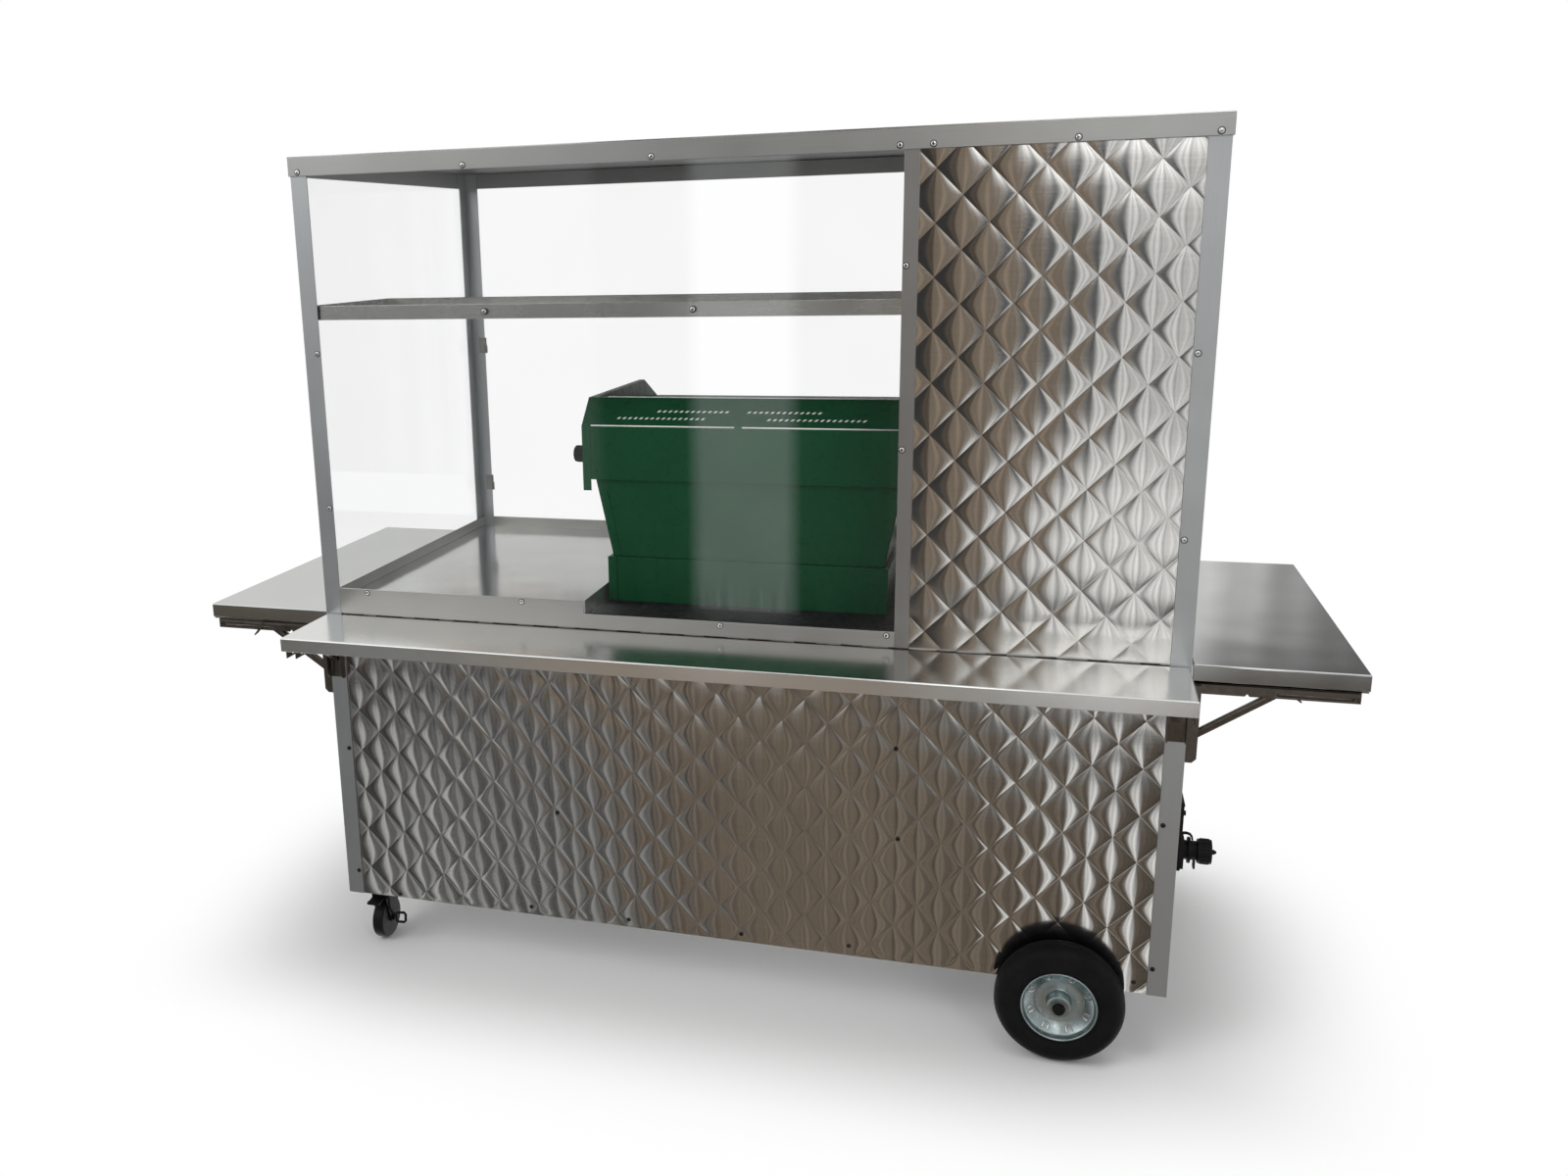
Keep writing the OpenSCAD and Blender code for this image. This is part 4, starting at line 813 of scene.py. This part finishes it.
def add_floor():
    """A pale floor that keeps the shadow under and beside the cart and turns white further out."""
    size = 30
    mesh = bpy.data.meshes.new("floor")
    corners = [(x, y, 0) for x, y in block(-size, size, -size, size)]
    mesh.from_pydata(corners, [], [(0, 1, 2, 3)])
    made = bpy.data.objects.new("floor", mesh)
    scene.collection.objects.link(made)
    material = bpy.data.materials.new("floor")
    material.use_nodes = True
    tree = material.node_tree
    tree.nodes.clear()
    out = tree.nodes.new("ShaderNodeOutputMaterial")
    pale = tree.nodes.new("ShaderNodeBsdfDiffuse")
    pale.inputs["Color"].default_value = (0.86, 0.86, 0.86, 1)
    white = tree.nodes.new("ShaderNodeEmission")
    white.inputs["Color"].default_value = (1, 1, 1, 1)
    white.inputs["Strength"].default_value = 1
    coords = tree.nodes.new("ShaderNodeTexCoord")
    mirrored = vector_math(tree, "ABSOLUTE", coords.outputs["Object"])
    beyond = vector_math(tree, "SUBTRACT", mirrored, FOOTPRINT)
    outside = vector_math(tree, "MAXIMUM", beyond, (0, 0, 0))
    length = tree.nodes.new("ShaderNodeVectorMath")
    length.operation = "LENGTH"
    fade = tree.nodes.new("ShaderNodeMapRange")
    fade.interpolation_type = "SMOOTHSTEP"
    fade.inputs["From Min"].default_value = 0.0
    fade.inputs["From Max"].default_value = FADE
    blend = tree.nodes.new("ShaderNodeMixShader")
    tree.links.new(outside, length.inputs[0])
    tree.links.new(length.outputs["Value"], fade.inputs["Value"])
    tree.links.new(fade.outputs[0], blend.inputs[0])
    tree.links.new(pale.outputs[0], blend.inputs[1])
    tree.links.new(white.outputs[0], blend.inputs[2])
    tree.links.new(blend.outputs[0], out.inputs[0])
    mesh.materials.append(material)
    made.visible_glossy = False


def add_world():
    world = bpy.data.worlds.new("studio")
    scene.world = world
    world.use_nodes = True
    tree = world.node_tree
    back = tree.nodes["Background"]
    back.inputs["Color"].default_value = (1, 1, 1, 1)
    path = tree.nodes.new("ShaderNodeLightPath")
    seen = tree.nodes.new("ShaderNodeMath")
    seen.operation = "MAXIMUM"
    seen_too = tree.nodes.new("ShaderNodeMath")
    seen_too.operation = "MAXIMUM"
    level = tree.nodes.new("ShaderNodeMapRange")
    level.inputs["To Min"].default_value = 0.55
    level.inputs["To Max"].default_value = 1.0
    tree.links.new(path.outputs["Is Camera Ray"], seen.inputs[0])
    tree.links.new(path.outputs["Is Glossy Ray"], seen.inputs[1])
    tree.links.new(seen.outputs[0], seen_too.inputs[0])
    tree.links.new(path.outputs["Is Transmission Ray"], seen_too.inputs[1])
    tree.links.new(seen_too.outputs[0], level.inputs["Value"])
    tree.links.new(level.outputs[0], back.inputs["Strength"])


def add_softbox(name, place, target, size, power):
    """A soft lamp; the steel mirrors the studio wall instead of it."""
    lamp = bpy.data.lights.new(name, "AREA")
    lamp.shape = "RECTANGLE"
    lamp.size, lamp.size_y = size
    lamp.energy = power
    holder = bpy.data.objects.new(name, lamp)
    holder.location = place
    holder.rotation_euler = (Vector(target) - Vector(place)).to_track_quat("-Z", "Y").to_euler()
    holder.visible_glossy = False
    scene.collection.objects.link(holder)


# What the steel mirrors at several heights: metres along the wall, brightness and tint
BROWN, GREY = (1.0, 0.81, 0.63), (1.0, 1.0, 0.985)
WALL_LOW = [(-12, 0.08, GREY), (-3.85, 0.08, GREY), (-3.75, 0.2, GREY), (-3.55, 0.7, GREY),
    (-3.4, 0.7, GREY), (-3.25, 0.12, GREY), (-3.05, 0.12, GREY), (-2.95, 0.62, GREY), (-2.8, 0.62, GREY),
    (-2.68, 0.13, GREY), (-2.35, 0.15, GREY), (-2.25, 0.5, GREY), (-2.1, 0.5, GREY), (-1.98, 0.16, GREY),
    (-1.3, 0.26, BROWN), (0.1, 0.25, BROWN), (0.9, 0.2, BROWN), (0.92, 1.1, GREY), (1.17, 1.1, GREY),
    (1.2, 0.17, BROWN), (2.0, 0.11, BROWN), (2.15, 0.4, GREY), (2.45, 0.4, GREY), (2.6, 0.1, BROWN),
    (3.3, 0.1, BROWN), (3.5, 0.5, GREY), (4.1, 0.5, GREY), (4.3, 0.12, BROWN), (5.4, 0.12, BROWN),
    (5.8, 0.5, GREY), (12, 0.3, BROWN)]
WALL_LIP = [(-12, 0.12, BROWN), (-3.8, 0.12, BROWN), (-3.65, 0.13, GREY), (-2.6, 0.14, GREY),
    (-2.3, 0.29, BROWN), (-0.4, 0.29, BROWN), (0.1, 0.27, GREY), (1.38, 0.26, GREY), (1.44, 0.08, BROWN),
    (12, 0.08, BROWN)]
WALL_FOOT = [(-12, 0.3, GREY), (-1.84, 0.3, GREY), (-1.82, 0.05, GREY), (-1.28, 0.06, GREY),
    (-1.26, 0.95, GREY), (-0.71, 0.95, GREY), (-0.69, 0.08, GREY), (-0.2, 0.08, GREY),
    (-0.08, 0.26, BROWN), (0.13, 0.3, BROWN), (0.4, 0.34, BROWN), (0.54, 1.2, GREY), (1.6, 1.4, GREY),
    (1.9, 0.6, GREY), (12, 0.5, GREY)]
WALL_HIGH = [(-12, 0.3, GREY), (-1.84, 0.3, GREY), (-1.82, 0.05, GREY), (-1.28, 0.06, GREY),
    (-1.26, 0.95, GREY), (-0.71, 0.95, GREY), (-0.69, 0.08, GREY), (-0.2, 0.06, GREY),
    (-0.08, 0.24, BROWN), (0.13, 0.24, BROWN), (0.15, 0.38, BROWN), (0.6, 0.38, BROWN),
    (0.63, 0.18, GREY), (0.84, 0.18, GREY), (0.87, 0.95, GREY), (1.9, 0.9, GREY), (1.95, 0.35, GREY),
    (2.6, 0.3, GREY), (2.8, 0.75, GREY), (3.3, 0.75, GREY), (3.5, 0.25, GREY), (4.4, 0.25, GREY),
    (4.7, 0.8, GREY), (5.6, 0.8, GREY), (5.9, 0.3, GREY), (12, 0.5, GREY)]
WALL_OVER = [(-12, 1.9, GREY), (-3.5, 1.8, GREY), (-3.0, 1.1, GREY), (-2.75, 1.1, GREY),
    (-2.4, 1.6, GREY), (-1.86, 1.7, GREY), (-1.78, 0.06, GREY), (-0.3, 0.06, GREY), (-0.1, 0.26, BROWN),
    (0.3, 0.3, BROWN), (0.5, 1.9, GREY), (1.6, 2.0, GREY), (1.9, 0.6, GREY), (12, 0.5, GREY)]
BACK_LOW = [(-12, 0.8, GREY), (-4.3, 0.8, GREY), (-2.2, 0.75, GREY), (-1.5, 0.5, GREY), (1.2, 0.9, GREY),
    (1.6, 0.85, GREY), (2.0, 0.5, GREY), (2.6, 0.2, GREY), (12, 0.3, GREY)]
BACK_HIGH = [(-12, 0.85, GREY), (-3.9, 0.85, GREY), (-3.7, 0.4, BROWN), (-2.9, 0.35, BROWN),
    (-2.7, 0.07, GREY), (0.5, 0.07, GREY), (0.9, 0.2, GREY), (1.05, 0.9, GREY), (1.5, 0.9, GREY),
    (1.7, 0.12, GREY), (12, 0.12, GREY)]


def add_mirrored_wall(name, y, bottom, top, tiers, lean, swings):
    """A streaked wall that only mirrored rays meet. Each tier is the range of heights in which it takes
    over from the one below, and its stops. The lowest tier leans. The swings are the streaks' strength at
    the left and at the right."""
    half, brightest = 12.0, 2.0
    mesh = bpy.data.meshes.new(name)
    corners = [(x, y, z) for x, z in block(-half, half, bottom, top)]
    mesh.from_pydata(corners, [], [(0, 1, 2, 3)])
    made = bpy.data.objects.new(name, mesh)
    scene.collection.objects.link(made)
    material = bpy.data.materials.new(name)
    material.use_nodes = True
    tree = material.node_tree
    tree.nodes.clear()

    def node(kind, **settings):
        added = tree.nodes.new("ShaderNode" + kind)
        for key, value in settings.items():
            setattr(added, key, value)
        return added

    def join(value, socket):
        if isinstance(value, bpy.types.NodeSocket):
            tree.links.new(value, socket)
        else:
            socket.default_value = value

    def calculate(operation, a, b):
        added = node("Math", operation=operation)
        join(a, added.inputs[0])
        join(b, added.inputs[1])
        return added.outputs[0]

    def between(value, low, high, to_low=0.0, to_high=1.0, kind="LINEAR"):
        added = node("MapRange", interpolation_type=kind)
        ends = {"From Min": low, "From Max": high, "To Min": to_low, "To Max": to_high}
        for socket, number in ends.items():
            added.inputs[socket].default_value = number
        join(value, added.inputs["Value"])
        return added.outputs[0]

    def ramp(along, stops):
        added = node("ValToRGB")
        elements = added.color_ramp.elements
        while len(elements) < len(stops):
            elements.new(0.5)
        for element, (x, level, tint) in zip(elements, stops):
            element.position = (x + half) / (2 * half)
            element.color = tuple(level / brightest * c for c in tint) + (1,)
        join(between(along, -half, half), added.inputs["Fac"])
        return added.outputs["Color"]

    split = node("SeparateXYZ")
    join(node("TexCoord").outputs["Object"], split.inputs[0])
    x, z = split.outputs["X"], split.outputs["Z"]
    leaned = calculate("ADD", x, between(z, -4.0, 2.0, -3 * lean, 3 * lean))
    color = ramp(leaned, tiers[0][1])
    for heights, stops in tiers[1:]:
        mixed = node("Mix", data_type="RGBA")
        join(between(z, *heights, kind="SMOOTHSTEP"), mixed.inputs[0])
        join(color, mixed.inputs[6])
        join(ramp(x, stops), mixed.inputs[7])
        color = mixed.outputs[2]
    streak = node("TexNoise", noise_dimensions="1D")
    streak.inputs["Scale"].default_value = 7.0
    streak.inputs["Detail"].default_value = 3
    streak.inputs["Roughness"].default_value = 0.65
    join(x, streak.inputs["W"])
    glow = node("Emission")
    join(color, glow.inputs["Color"])
    swing = between(streak.outputs["Fac"], 0.4, 0.6, -1, 1)
    swing = calculate("MULTIPLY", swing, between(x, -2.2, -0.8, *swings))
    # No streaks on the left above the floor
    streaked = calculate("MAXIMUM", between(x, -0.3, -0.1), between(z, -0.2, -0.6))
    swing = calculate("MULTIPLY", swing, streaked)
    join(calculate("ADD", swing, brightest), glow.inputs["Strength"])
    join(glow.outputs[0], node("OutputMaterial").inputs[0])
    mesh.materials.append(material)
    made.visible_camera = made.visible_diffuse = made.visible_shadow = made.visible_transmission = False


add_floor()
add_world()
add_softbox("key", (-3.5, -4.2, 4.6), (0, 0, 0.9), (2.6, 2.6), 90)
add_softbox("fill", (3.4, -4.4, 2.2), (0.2, -0.3, 0.9), (1.8, 3.2), 35)
add_softbox("top", (0.3, 0.2, 5.0), (0.1, 0, 0), (4, 3), 240)
front_tiers = [(None, WALL_LOW), ((-1.1, -0.95), WALL_LIP), ((-0.47, -0.43), WALL_FOOT),
    ((0.1, 0.8), WALL_HIGH), ((2.1, 2.25), WALL_OVER)]
back_tiers = [(None, BACK_LOW), ((2.5, 2.9), BACK_HIGH)]
add_mirrored_wall("studio_wall", y=-5.0, bottom=-25.0, top=6.0, tiers=front_tiers, lean=0.06,
    swings=(1.6, 0.9))
add_mirrored_wall("studio_back", y=6.0, bottom=0.0, top=5.0, tiers=back_tiers, lean=0.0, swings=(0.4, 0.4))

scene.view_settings.view_transform = "Standard"
